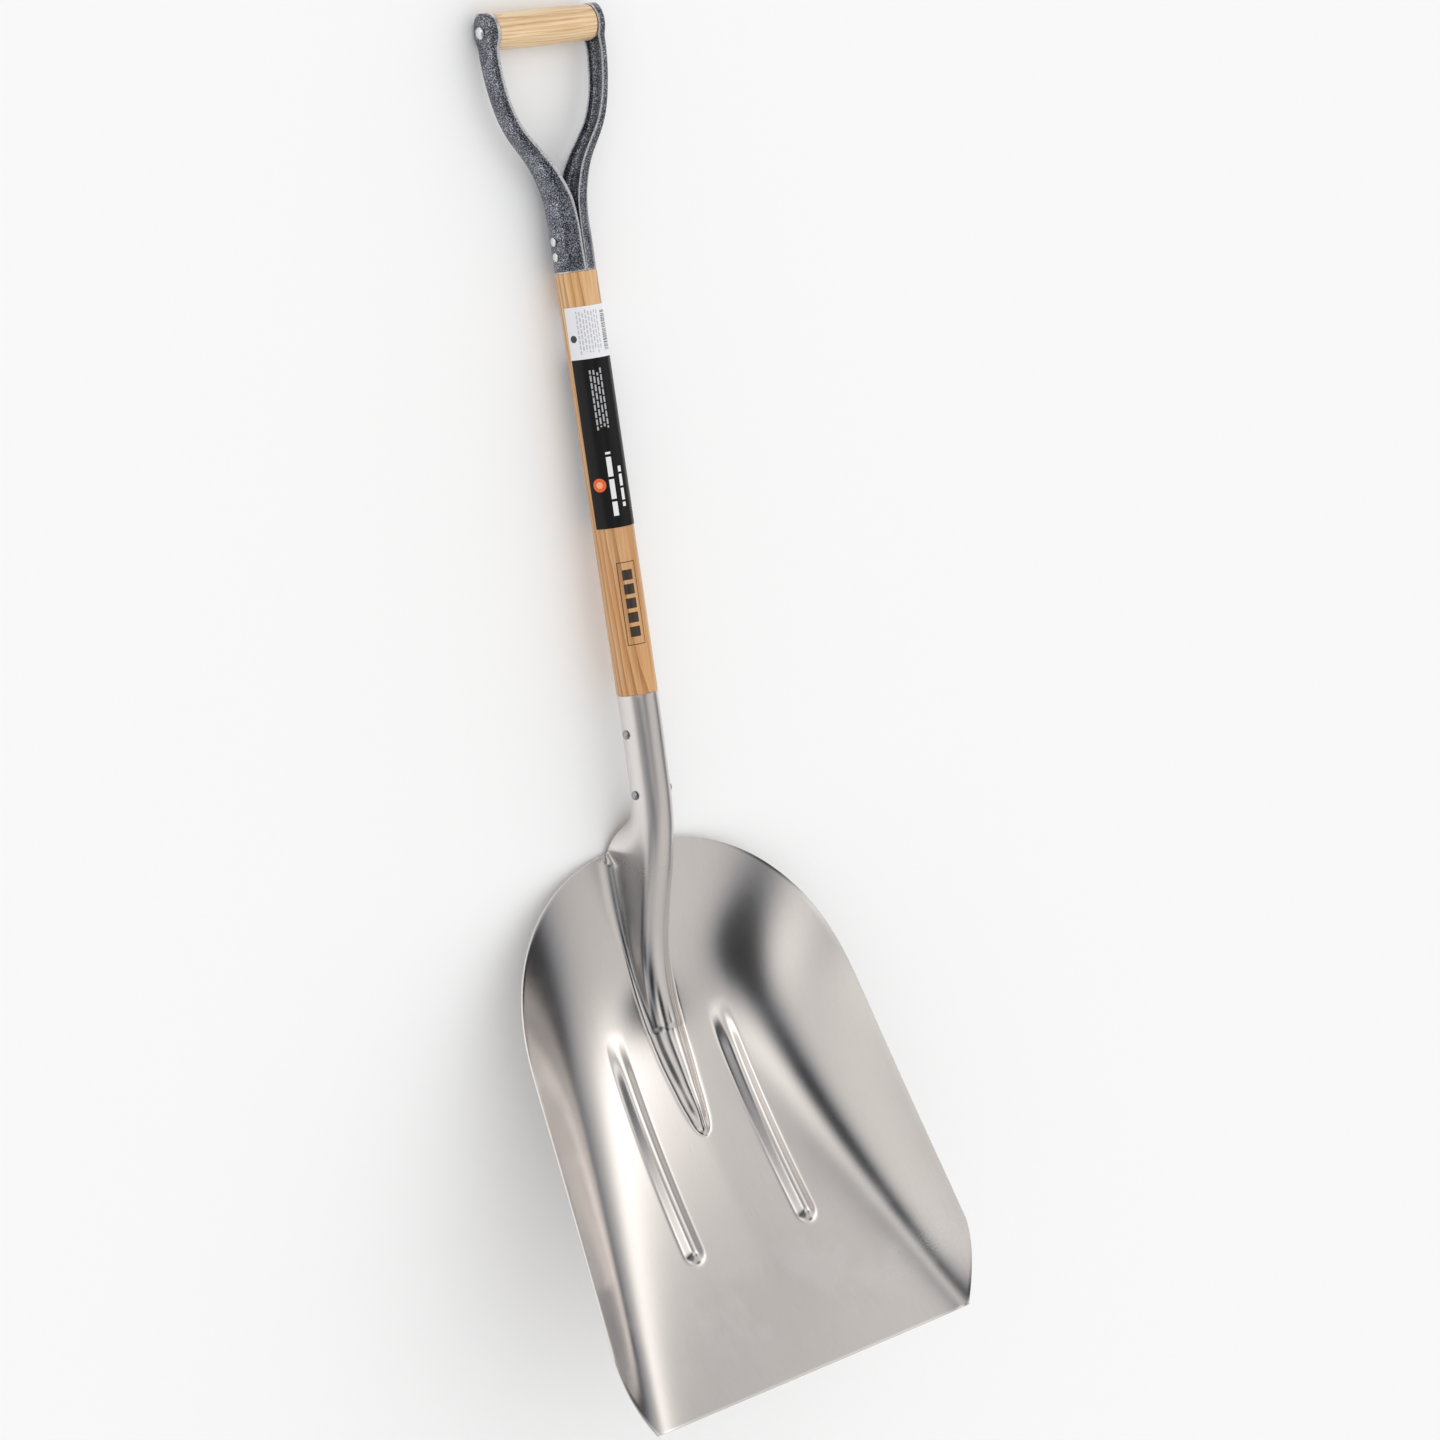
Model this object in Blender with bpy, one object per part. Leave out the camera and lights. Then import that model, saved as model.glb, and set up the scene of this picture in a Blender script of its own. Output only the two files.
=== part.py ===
# Aluminium scoop shovel with a D-grip, as an assembly of separate pieces.
#
# Run with: blender --background --python part.py
#
# Everything is laid out in the scoop's own frame first: the origin is the
# middle of the front lip, +X to the right, +Y back along the floor of the
# scoop towards the handle, +Z up out of the open side.  At the end the whole
# tool is laid on the ground the way it really comes to rest, open side up, on
# the heel of the scoop and the two eyes of the D-grip, with the D-grip to -Y.

import bpy
import bmesh
import math
import numpy as np
from mathutils import Matrix, Vector

for ob in list(bpy.data.objects):
    bpy.data.objects.remove(ob, do_unlink=True)

# ------------------------------------------------------------------ dimensions
# metres and degrees
GAP = 0.0003                 # clearance between touching pieces

SHEET = 0.0020               # aluminium sheet
LIP_HALF = 0.1905            # half the width of the straight front lip
CORNER_Y = 0.074             # the oblique front corner runs back this far ...
CORNER_X = 0.2138            # ... and out this far
RIM_SLOPE = 0.209            # the rim lies in a plane that climbs to the back
RIM_Z0 = 0.0188
BACK_Y = 0.335               # where the rounded back of the rim starts
BACK_DEPTH = 0.1785          # from there to the back of the rim
BACK_HALF = 0.1928           # half the width there
SIDE_TAPER = 0.0661          # the sides open out towards the front
SIDE_CURVE = 0.059           # 1/m
BACK_POWER = 2.2             # squareness of the rounded back
RIM_END = 0.030              # the rim runs in to here beside the frog
RIM_EASE = 0.030             # how gently the straight sides turn into the back
FLOOR_RISE = 0.1894          # the floor climbs towards the back
FLOOR_RISE_Y = 0.2268
FLOOR_SOFT = 0.0604
BEND_IN = 0.1805             # the bend up into the wall runs in towards the back
BEND_SOFT = (0.0300, 0.1743) # softness of that bend, in front and behind
BACK_BEND = 0.4675           # where the bend lies at the very back, of the half width
BACK_SOFT = 0.4546
BACK_EASE = 0.0588           # how gently the rounded back takes over
BACK_MIX = 0.2938
SIDE_MIX = 0.8446

RIB_X = (0.0685, 0.0630)     # bead centre line at its front and back ends
RIB_Y = (0.1455, 0.3690)
RIB_HALF = 0.0142
RIB_HEIGHT = 0.0038
RIB_FADE = 0.054             # length over which its back end runs out

SOCKET_R = 0.0195            # outside radius of the rolled socket
SOCKET_MOUTH = (0.6164, 0.2455)   # y, z of the socket's mouth on its axis
LIFT = math.radians(33.3)    # handle axis above the front of the floor
# the crest of the frog, from its point up to the straight socket: (y, z)
CREST = [(0.2465, 0.0102), (0.250, 0.0138), (0.257, 0.0166), (0.265, 0.0194),
         (0.293, 0.0275), (0.322, 0.0352), (0.352, 0.0435), (0.402, 0.0715),
         (0.455, 0.1325), (0.500, 0.1862), (0.553, 0.2262)]
STEP_Y = 0.3525              # the crest drops a little in front of the wood's end
STEP_HEIGHT = 0.0010

SHAFT_R = 0.0197             # bare ash shaft
TENON_R = 0.0171             # where it enters the socket and the collar
SHAFT_LEN = 0.3994           # bare length between socket and collar
TENON_TOP = 0.050            # length inside the collar

COLLAR_R = 0.0194
GRIP_S = 0.6225              # from the socket's mouth to the hand grip's axis
EYE_X = 0.0650               # outer face of the eyes
EYE_R = 0.0175
STEEL = 0.0020
GRIP_R = 0.0166

RIVET_SOCKET = (0.0369, 0.0959)    # below the socket's mouth
RIVET_COLLAR = (0.0150, 0.0290)    # above the collar's lower edge
LABEL_S = (0.160, 0.367)           # along the shaft from the socket's mouth
LABEL_A = (-85.0, 215.0)           # degrees round the shaft from the front

ROWS_BOWL, ROWS_FLARE, ROWS_SOCKET = 36, 9, 6
COLS = 15                    # across one half of the blade

# ------------------------------------------------------------------- materials
def material(name, colour, rough, metal):
    m = bpy.data.materials.new(name)
    m.use_nodes = True
    b = m.node_tree.nodes["Principled BSDF"]
    b.inputs["Base Color"].default_value = (*colour, 1.0)
    b.inputs["Roughness"].default_value = rough
    b.inputs["Metallic"].default_value = metal
    m.diffuse_color = (*colour, 1.0)
    return m

MATS = {
    "blade": ((0.66, 0.65, 0.63), 0.32, 1.0),
    "shaft": ((0.72, 0.50, 0.28), 0.45, 0.0),
    "hand_grip": ((0.76, 0.54, 0.31), 0.45, 0.0),
    "grip_arm_left": ((0.10, 0.105, 0.12), 0.42, 0.3),
    "grip_arm_right": ((0.10, 0.105, 0.12), 0.42, 0.3),
    "grip_rivet": ((0.72, 0.73, 0.75), 0.25, 1.0),
    "collar_rivet_lower": ((0.72, 0.73, 0.75), 0.25, 1.0),
    "collar_rivet_upper": ((0.72, 0.73, 0.75), 0.25, 1.0),
    "socket_rivet_upper": ((0.45, 0.45, 0.46), 0.35, 1.0),
    "socket_rivet_lower": ((0.45, 0.45, 0.46), 0.35, 1.0),
    "label": ((0.02, 0.02, 0.022), 0.35, 0.0),
}

# --------------------------------------------------------------------- helpers
def smooth(t):
    t = np.clip(t, 0.0, 1.0)
    return t * t * (3.0 - 2.0 * t)

def spline(points):
    """Natural cubic spline through points; returns a function of chord length."""
    p = np.asarray(points, float)
    s = np.concatenate([[0.0], np.cumsum(np.linalg.norm(np.diff(p, axis=0), axis=1))])
    n = len(s)
    h = np.diff(s)
    a = np.eye(n)
    r = np.zeros((n, p.shape[1]))
    for i in range(1, n - 1):
        a[i, i - 1], a[i, i], a[i, i + 1] = h[i - 1], 2 * (h[i - 1] + h[i]), h[i]
        r[i] = 6 * ((p[i + 1] - p[i]) / h[i] - (p[i] - p[i - 1]) / h[i - 1])
    m = np.linalg.solve(a, r)

    def at(u):
        u = np.clip(np.atleast_1d(np.asarray(u, float)), s[0], s[-1])
        k = np.clip(np.searchsorted(s, u, side="right") - 1, 0, n - 2)
        d = (u - s[k])[:, None]
        e = (s[k + 1] - u)[:, None]
        hh = h[k][:, None]
        return (m[k] * e ** 3 + m[k + 1] * d ** 3) / (6 * hh) \
            + (p[k] / hh - m[k] * hh / 6) * e + (p[k + 1] / hh - m[k + 1] * hh / 6) * d
    return at, s[-1]

def mesh_object(name, verts, faces):
    me = bpy.data.meshes.new(name)
    me.from_pydata([tuple(map(float, v)) for v in verts], [], faces)
    bm = bmesh.new()
    bm.from_mesh(me)
    bmesh.ops.remove_doubles(bm, verts=bm.verts, dist=1e-6)
    bmesh.ops.dissolve_degenerate(bm, edges=bm.edges, dist=1e-7)
    bmesh.ops.recalc_face_normals(bm, faces=bm.faces)
    if bm.calc_volume(signed=True) < 0:
        bmesh.ops.reverse_faces(bm, faces=bm.faces)
    bm.to_mesh(me)
    bm.free()
    me.shade_smooth()
    me.set_sharp_from_angle(angle=math.radians(40))
    ob = bpy.data.objects.new(name, me)
    bpy.context.scene.collection.objects.link(ob)
    if name in MATS:
        me.materials.append(material(name, *MATS[name]))
    return ob

def sheet_solid(name, outer, inner, folded=False):
    """A closed solid from two matching grids of points, outer and inner.

    folded: the last row is folded in half onto itself, so it needs no end face."""
    r, c = outer.shape[:2]
    verts = list(outer.reshape(-1, 3)) + list(inner.reshape(-1, 3))
    o = lambda i, j: i * c + j
    n = lambda i, j: r * c + i * c + j
    faces = []
    for i in range(r - 1):
        for j in range(c - 1):
            faces.append((o(i, j), o(i, j + 1), o(i + 1, j + 1), o(i + 1, j)))
            faces.append((n(i, j), n(i + 1, j), n(i + 1, j + 1), n(i, j + 1)))
    for i in range(r - 1):
        faces.append((o(i, 0), o(i + 1, 0), n(i + 1, 0), n(i, 0)))
        faces.append((o(i, c - 1), n(i, c - 1), n(i + 1, c - 1), o(i + 1, c - 1)))
    for j in range(c - 1):
        faces.append((o(0, j), n(0, j), n(0, j + 1), o(0, j + 1)))
        if not folded:
            faces.append((o(r - 1, j), o(r - 1, j + 1), n(r - 1, j + 1), n(r - 1, j)))
    return mesh_object(name, verts, faces)

def ring_solid(name, rings):
    """A closed solid from a row of closed rings of points, with flat ends."""
    k = len(rings[0])
    verts = [v for ring in rings for v in ring]
    faces = []
    for i in range(len(rings) - 1):
        for j in range(k):
            faces.append((i * k + j, i * k + (j + 1) % k, (i + 1) * k + (j + 1) % k, (i + 1) * k + j))
    faces.append(tuple(range(k)))
    faces.append(tuple((len(rings) - 1) * k + j for j in range(k)))
    return mesh_object(name, verts, faces)

def cut(ob, cutter):
    m = ob.modifiers.new("hole_" + cutter.name, "BOOLEAN")
    m.operation = "DIFFERENCE"
    m.solver = "EXACT"
    m.object = cutter
    cutter.hide_render = True
    cutter.display_type = "WIRE"

# ------------------------------------------------------- the shape of the scoop
def rim_z(y):
    return RIM_Z0 + RIM_SLOPE * y

def side_x(y):
    d = BACK_Y - y
    return BACK_HALF + SIDE_TAPER * d + SIDE_CURVE * d * d

def ease(d, c):
    """Nothing, then climbing as d, with a soft turn of size c in between."""
    return 0.5 * (d + np.sqrt(d * d + c * c))

def back_t(y, c):
    """0 along the straight sides, 1 at the back of the rim."""
    return ease(y - BACK_Y, c) / ease(BACK_DEPTH, c)

def rim_x(y):
    """Half the width between the rims."""
    left = np.maximum(1.0 - back_t(y, RIM_EASE) ** BACK_POWER, 0.0)
    return side_x(y) * left ** (1.0 / BACK_POWER)

def floor_z(y):
    u = (y - FLOOR_RISE_Y) / FLOOR_SOFT
    return FLOOR_RISE * FLOOR_SOFT * np.logaddexp(0.0, u)

def climb(t, w):
    """Area under a soft step that takes w to rise from 0 to 1."""
    u = np.clip(t / w, 0.0, 1.0)
    return w * (u ** 3 - 0.5 * u ** 4) + np.maximum(t - w, 0.0)

def bead(x, y):
    """Height of the two raised beads: two flat flanks that meet in a narrow
    round, crisp in front, running out behind."""
    t = np.clip((y - RIB_Y[0]) / (RIB_Y[1] - RIB_Y[0]), 0.0, 1.0)
    cx = RIB_X[0] + (RIB_X[1] - RIB_X[0]) * t
    dy = np.maximum(RIB_Y[0] - y, 0.0)
    d = np.minimum(np.hypot(np.abs(x) - cx, dy) / RIB_HALF, 1.0)
    flank = 1.0 - (climb(d, 0.34) - climb(d - 0.66, 0.34)) / (1.0 - 0.17 - 0.17)
    return RIB_HEIGHT * flank * (1.0 - smooth((y - RIB_Y[1] + RIB_FADE) / RIB_FADE))

def bowl_z(x, y):
    """Height of the scoop's inner face, without the frog."""
    x = np.abs(x)
    yc = np.minimum(y, BACK_Y + 0.9995 * BACK_DEPTH)
    t = back_t(yc, BACK_EASE)
    a = rim_x(yc) / (1.0 - t ** BACK_POWER) ** (1.0 / BACK_POWER)
    t = back_t(y, BACK_EASE)
    # r is 0 in the middle of the floor and 1 on the rim
    r = ((x / a) ** BACK_POWER + t ** BACK_POWER) ** (1.0 / BACK_POWER)
    back = (t / np.maximum(r, 1e-9)) ** (BACK_POWER * BACK_MIX)
    yy = y - ease(y - BACK_Y, BACK_EASE)
    rb = (LIP_HALF - BEND_IN * yy) / side_x(yy)
    w = BEND_SOFT[0] + (BEND_SOFT[1] - BEND_SOFT[0]) * smooth(yy / 0.36) ** SIDE_MIX
    rb = rb + (BACK_BEND - rb) * back
    w = w + (BACK_SOFT - w) * back
    h = lambda q: 0.5 * ((q - rb) + np.sqrt((q - rb) ** 2 + w * w))
    g = (h(r) - h(0.0)) / (h(1.0) - h(0.0))
    base = floor_z(y)
    return base + (rim_z(y) - base) * g + bead(x, y)

def wall_z(x, y):
    return bowl_z(x, y)

# the rim, as a curve from the lip's corner to the back
def rim_point(s):
    """s from 0 at the lip's corner to 1 where the rim meets the frog."""
    s = np.atleast_1d(np.asarray(s, float))
    out = np.empty((len(s), 2))
    for i, q in enumerate(s):
        out[i] = RIM_AT(q)
    return out

def build_rim():
    pts = []
    # the oblique, slightly bowed front corner
    for k in range(13):
        f = k / 12.0
        y = CORNER_Y * f
        x = LIP_HALF + (CORNER_X - LIP_HALF) * (1.0 - (1.0 - f) ** 1.9)
        pts.append((x, y))
    n = 60
    for k in range(1, n + 1):
        y = CORNER_Y + (BACK_Y - CORNER_Y) * k / n
        pts.append((float(rim_x(y)) + (CORNER_X - float(rim_x(CORNER_Y))) * max(0.0, 1.0 - k / 8.0), y))
    n = 160
    first = math.asin(float(back_t(BACK_Y, RIM_EASE)) ** (0.5 * BACK_POWER))
    for k in range(1, n + 1):
        th = first + (0.5 * math.pi - first) * k / n
        d = math.sin(th) ** (2.0 / BACK_POWER) * float(ease(BACK_DEPTH, RIM_EASE))
        y = BACK_Y + d - RIM_EASE ** 2 / (4.0 * d)
        x = float(side_x(y)) * math.cos(th) ** (2.0 / BACK_POWER)
        if x < RIM_END:
            break
        pts.append((x, y))
    p = np.array(pts)
    d = np.concatenate([[0.0], np.cumsum(np.linalg.norm(np.diff(p, axis=0), axis=1))])
    return p, d

RIM_P, RIM_D = build_rim()
RIM_LEN = RIM_D[-1]
RIM_CORNER = RIM_D[12] / RIM_LEN

def RIM_AT(q):
    u = q * RIM_LEN
    return np.array([np.interp(u, RIM_D, RIM_P[:, 0]), np.interp(u, RIM_D, RIM_P[:, 1])])

# ------------------------------------------------------- the frog and the socket
AX = np.array([math.cos(LIFT), math.sin(LIFT)])          # along the handle, in y, z
AN = np.array([-math.sin(LIFT), math.cos(LIFT)])         # its upper side
MOUTH = np.array(SOCKET_MOUTH)
crest_pts = list(CREST) + [tuple(MOUTH - 0.030 * AX + SOCKET_R * AN), tuple(MOUTH + SOCKET_R * AN)]
CREST_AT, CREST_LEN = spline(crest_pts)
_u = np.linspace(0.0, CREST_LEN, 1200)
_c = CREST_AT(_u)
_s = np.concatenate([[0.0], np.cumsum(np.linalg.norm(np.diff(_c, axis=0), axis=1))])
FROG_LEN = _s[-1]

def crest(s):
    """Point and unit tangent of the crest at arc length s from the frog's point."""
    u = np.interp(s, _s, _u)
    e = 0.0005
    p = CREST_AT(u)[0]
    t = CREST_AT(min(u + e, CREST_LEN))[0] - CREST_AT(max(u - e, 0.0))[0]
    return p, t / np.linalg.norm(t)

def frog_radius(y):
    return 0.0060 + (SOCKET_R - 0.0060) * smooth((y - 0.240) / 0.122)

def frog_slope(y):
    """Angle of the frog's side walls, 90 is upright."""
    return math.radians(46.0 + 22.0 * float(smooth((y - 0.29) / 0.15)))

S_AT_Y = lambda y: float(np.interp(y, _c[:, 0], _s))
S_END_BOWL = S_AT_Y(0.476)         # the last section that still has the bowl
S_WRAP = S_AT_Y(0.531)             # from here the sheet is rolled right round

def frog_step(s):
    return STEP_HEIGHT * smooth((s - 0.030) / 0.030) * (1.0 - smooth((s - S_AT_Y(STEP_Y)) / 0.003 + 0.5))

def profile(kappa_psi, length, n=160):
    """Section curve from the crest: its direction angle psi over arc length."""
    q = np.linspace(0.0, length, n)
    psi = kappa_psi(q)
    dq = np.diff(q)
    mid = 0.5 * (psi[1:] + psi[:-1])
    x = np.concatenate([[0.0], np.cumsum(np.cos(mid) * dq)])
    d = np.concatenate([[0.0], np.cumsum(np.sin(mid) * dq)])
    return q, x, d                 # sideways and down from the crest

WRAP_LEN = SOCKET_R * math.radians(178.0)

def psi_ridge(q, rad, slope):
    return np.minimum(q / rad, slope)

def flare_section(s):
    """Section beyond the bowl: the last one with a bowl, rolled up step by step
    until the sheet runs right round the socket."""
    f = min(max((s - S_END_BOWL) / (S_WRAP - S_END_BOWL), 0.0), 1.0)
    b = float(smooth(1.0 - (1.0 - f) ** 1.7))
    length = LAST_LEN + (WRAP_LEN - LAST_LEN) * b
    def psi(q):
        g = q / length
        return (1.0 - b) * np.interp(g, LAST_F, LAST_PSI) + b * (g * WRAP_LEN / SOCKET_R)
    p, t = crest(s)
    nrm = np.array([-t[1], t[0]])
    q, x, d = profile(psi, length)
    w = (1.0 - b) ** 2 * np.interp(q / length, LAST_F, LAST_W)
    pts = np.empty((len(q), 3))
    pts[:, 0] = x
    pts[:, 1] = p[0] - nrm[0] * d + t[0] * w
    pts[:, 2] = p[1] - nrm[1] * d + t[1] * w
    return pts

def bowl_section(spine_y, s, rim_q):
    """Section from the middle line out to the rim; s < 0 means in front of the frog."""
    e = RIM_AT(rim_q)
    if s <= 0.0:
        a = np.array([0.0, spine_y])
        q = np.linspace(0.0, 1.0, 260)[:, None]
        xy = a + (e - a) * q
        strip = np.empty((0, 3))
    else:
        p, t = crest(s)
        nrm = np.array([-t[1], t[0]])
        rad = float(frog_radius(p[0]))
        slope = frog_slope(p[0])
        p = p - nrm * float(frog_step(s))
        q, x, d = profile(lambda v: psi_ridge(v, rad, slope), 0.085, 340)
        y = p[0] - nrm[0] * d
        z = p[1] - nrm[1] * d
        over = z - wall_z(x, y)
        below = np.nonzero(over <= 0.0)[0]
        if over[0] <= 0.0:
            k, f, qj = 0, 0.0, 0.0
        else:
            k = below[0]
            f = over[k - 1] / (over[k - 1] - over[k])
            qj = q[k - 1] + f * (q[k] - q[k - 1])
        xj, yj = np.interp(qj, q, x), np.interp(qj, q, y)
        a = np.array([xj, yj])
        w = np.linspace(0.0, 1.0, 260)[:, None]
        xy = a + (e - a) * w
        keep = q < qj - 1e-9
        strip = np.stack([x[keep], y[keep], z[keep]], axis=1)
    bowl = np.column_stack([xy, wall_z(xy[:, 0], xy[:, 1])])
    if len(strip) < 3:
        return bowl
    # round the inside corner between the frog's side and the bowl
    back = np.concatenate([[0.0], np.cumsum(np.linalg.norm(np.diff(strip[::-1], axis=0), axis=1))])
    out = np.concatenate([[0.0], np.cumsum(np.linalg.norm(np.diff(bowl, axis=0), axis=1))])
    set_ = min(0.0060 + 0.010 * float(smooth((s - S_AT_Y(0.40)) / 0.07)), 0.62 * back[-1], 0.8 * out[-1])
    i = np.searchsorted(back, set_)
    j = np.searchsorted(out, set_)
    st = strip[: len(strip) - i]
    bo = bowl[j:]
    if len(st) < 2:
        st = strip[:2]
    p0, p3 = st[-1], bo[0]
    d0 = st[-1] - st[-2]
    d0 = d0 / np.linalg.norm(d0)
    d3 = bo[1] - bo[0]
    d3 = d3 / np.linalg.norm(d3)
    arm = 0.36 * np.linalg.norm(p3 - p0) + 0.12 * set_
    c1, c2 = p0 + d0 * arm, p3 - d3 * arm
    w = np.linspace(0.0, 1.0, 14)[1:-1, None]
    bez = (1 - w) ** 3 * p0 + 3 * (1 - w) ** 2 * w * c1 + 3 * (1 - w) * w * w * c2 + w ** 3 * p3
    return np.concatenate([st, bez, bo])

def resample(pts, n):
    """n+1 points along a section, closer together on the frog and the bead."""
    seg = np.linalg.norm(np.diff(pts, axis=0), axis=1)
    mid = 0.5 * (pts[1:] + pts[:-1])
    x = mid[:, 0]
    near = 1.0 - smooth((x - 0.030) / 0.030)
    wall = smooth((x - 0.125) / 0.05)
    wgt = 1.0 + 1.6 * near + 0.5 * wall
    d = np.concatenate([[0.0], np.cumsum(seg * wgt)])
    u = np.linspace(0.0, d[-1], n + 1)
    return np.column_stack([np.interp(u, d, pts[:, k]) for k in range(3)])

def last_bowl_section():
    """The last section with a bowl, as direction angles in the plane across the frog."""
    pts = bowl_section(CREST[0][0], S_END_BOWL, 1.0)
    p, t = crest(S_END_BOWL)
    rel = pts[:, 1:] - p
    d = -(rel[:, 0] * -t[1] + rel[:, 1] * t[0])
    w = rel[:, 0] * t[0] + rel[:, 1] * t[1]
    x = pts[:, 0]
    q = np.concatenate([[0.0], np.cumsum(np.hypot(np.diff(x), np.diff(d)))])
    u = np.linspace(0.0, q[-1], 90)
    xi, di, wi = (np.interp(u, q, v) for v in (x, d, w))
    psi = np.arctan2(np.gradient(di), np.gradient(xi))
    return u / q[-1], psi, wi, q[-1]

LAST_F, LAST_PSI, LAST_W, LAST_LEN = last_bowl_section()

def stations(rows_bowl, rows_flare, rows_socket):
    """(spine y, crest arc length, rim fraction) of each row."""
    out = []
    y_tip = CREST[0][0]
    # distance along the middle line, with the frog's own arc length behind its point
    total = y_tip + S_END_BOWL
    for k in range(rows_bowl + 1):
        f = k / rows_bowl
        m = total * f
        y, s = (m, -1.0) if m < y_tip else (y_tip, m - y_tip)
        key_m = np.array([0.0, 0.070, 0.300, 0.400, total])
        key_r = np.array([0.0, RIM_CORNER, 0.560, 0.740, 1.0])
        out.append((y, s, float(np.interp(m, key_m, key_r))))
    return out

def half_blade(n, rows_bowl, rows_flare, rows_socket):
    rows = []
    for y, s, r in stations(rows_bowl, rows_flare, rows_socket):
        rows.append(resample(bowl_section(y, s, r), n))
    for k in range(1, rows_flare + 1):
        s = S_END_BOWL + (S_WRAP - S_END_BOWL) * k / rows_flare
        rows.append(resample(flare_section(s), n))
    for k in range(1, rows_socket + 1):
        s = S_WRAP + (FROG_LEN - S_WRAP) * k / rows_socket
        rows.append(resample(flare_section(s), n))
    return np.array(rows)

def full_sheet(half):
    left = half[:, :0:-1].copy()
    left[:, :, 0] *= -1.0
    mid = half[:, :1].copy()
    mid[:, :, 0] = 0.0
    return np.concatenate([left, mid, half[:, 1:]], axis=1)

def offset(grid, depth):
    du = np.gradient(grid, axis=1)
    dv = np.gradient(grid, axis=0)
    n = np.cross(du, dv)
    n /= np.maximum(np.linalg.norm(n, axis=2, keepdims=True), 1e-12)
    return grid - depth * n

TOP = full_sheet(half_blade(COLS, ROWS_BOWL, ROWS_FLARE, ROWS_SOCKET))
UNDER = offset(TOP, SHEET)
blade = sheet_solid("blade", TOP, UNDER)

# ------------------------------------------------------------------- ash shaft
def handle_point(s, x=0.0, n=0.0):
    """Point at s along the handle from the socket's mouth, x right, n to the front."""
    p = MOUTH + s * AX + n * AN
    return np.array([x, p[0], p[1]])

def handle_ring(s, rad, k=24):
    return [handle_point(s, rad * math.sin(2 * math.pi * j / k), rad * math.cos(2 * math.pi * j / k)) for j in range(k)]

def shaft_rings():
    rings = []
    k = 24
    start = S_AT_Y(0.357)
    n = 15
    for i in range(n + 1):
        s = start + (FROG_LEN - 0.012 - start) * i / n
        p, t = crest(s)
        nrm = np.array([-t[1], t[0]])
        rad = float(frog_radius(p[0]))
        c = p - nrm * rad
        loose = GAP + 0.0006 * (1.0 - float(smooth((s - S_AT_Y(0.50)) / 0.05)))
        rw = rad - SHEET - loose - 0.0003
        # planed flush with the scoop's underside
        h = np.linspace(0.0, 0.05, 200)
        yy, zz = c[0] - nrm[0] * (h - rw), c[1] - nrm[1] * (h - rw)
        low = np.nonzero(zz < wall_z(np.full_like(yy, 0.026), yy) - SHEET + 0.0010)[0]
        cut_n = rw - h[low[0]] if len(low) and s < S_END_BOWL + 0.004 else -1.0
        ring = []
        for j in range(k):
            a = 2 * math.pi * j / k
            x, m = rw * math.sin(a), rw * math.cos(a)
            m = max(m, cut_n)
            ring.append(np.array([x, c[0] + nrm[0] * m, c[1] + nrm[1] * m]))
        rings.append(ring)
    rings.append(handle_ring(-0.0004, TENON_R, k))
    rings.append(handle_ring(GAP, TENON_R, k))
    rings.append(handle_ring(GAP, SHAFT_R - 0.0006, k))
    rings.append(handle_ring(GAP + 0.0006, SHAFT_R, k))
    rings.append(handle_ring(SHAFT_LEN * 0.5, SHAFT_R + 0.0001, k))
    rings.append(handle_ring(SHAFT_LEN - GAP - 0.0006, SHAFT_R, k))
    rings.append(handle_ring(SHAFT_LEN - GAP, SHAFT_R - 0.0006, k))
    rings.append(handle_ring(SHAFT_LEN - GAP, TENON_R - 0.0002, k))
    rings.append(handle_ring(SHAFT_LEN + TENON_TOP - 0.003, TENON_R - 0.0002, k))
    rings.append(handle_ring(SHAFT_LEN + TENON_TOP, TENON_R - 0.0032, k))
    return rings

shaft = ring_solid("shaft", shaft_rings())

# ------------------------------------------------- pressed steel halves of the D
ARM_PATH = [(0.0194, SHAFT_LEN), (0.0194, 0.435), (0.0194, 0.463), (0.0292, 0.4975),
            (0.0485, 0.5270), (0.0610, 0.5640), (0.0650, 0.6000), (0.0650, GRIP_S)]
ARM_AT, ARM_LEN = spline(ARM_PATH)

def arm_half_depth(s):
    k = np.array([0.3994, 0.437, 0.464, 0.482, 0.504, 0.528, 0.560, 0.600, 0.640])
    v = np.array([0.0194, 0.0192, 0.0182, 0.0165, 0.0140, 0.0125, 0.0120, 0.0125, 0.0125])
    body = float(np.interp(s, k, v))
    r2 = EYE_R ** 2 - (GRIP_S - s) ** 2
    eye = math.sqrt(r2) if r2 > 0.0 else 0.0
    w = 0.0018
    return 0.5 * (body + eye + math.sqrt((body - eye) ** 2 + w * w)) if s < GRIP_S else eye

def arm_reach(s):
    k = np.array([0.3994, 0.437, 0.464, 0.482, 0.504, 0.528, 0.560, 0.600, 0.613, 0.640])
    v = np.array([0.0188, 0.0182, 0.0160, 0.0128, 0.0100, 0.0088, 0.0078, 0.0080, 0.0100, 0.0100])
    return float(np.interp(s, k, v))

def arm_power(s):
    return 2.0 + 1.6 * float(smooth((s - 0.440) / 0.07))

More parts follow.
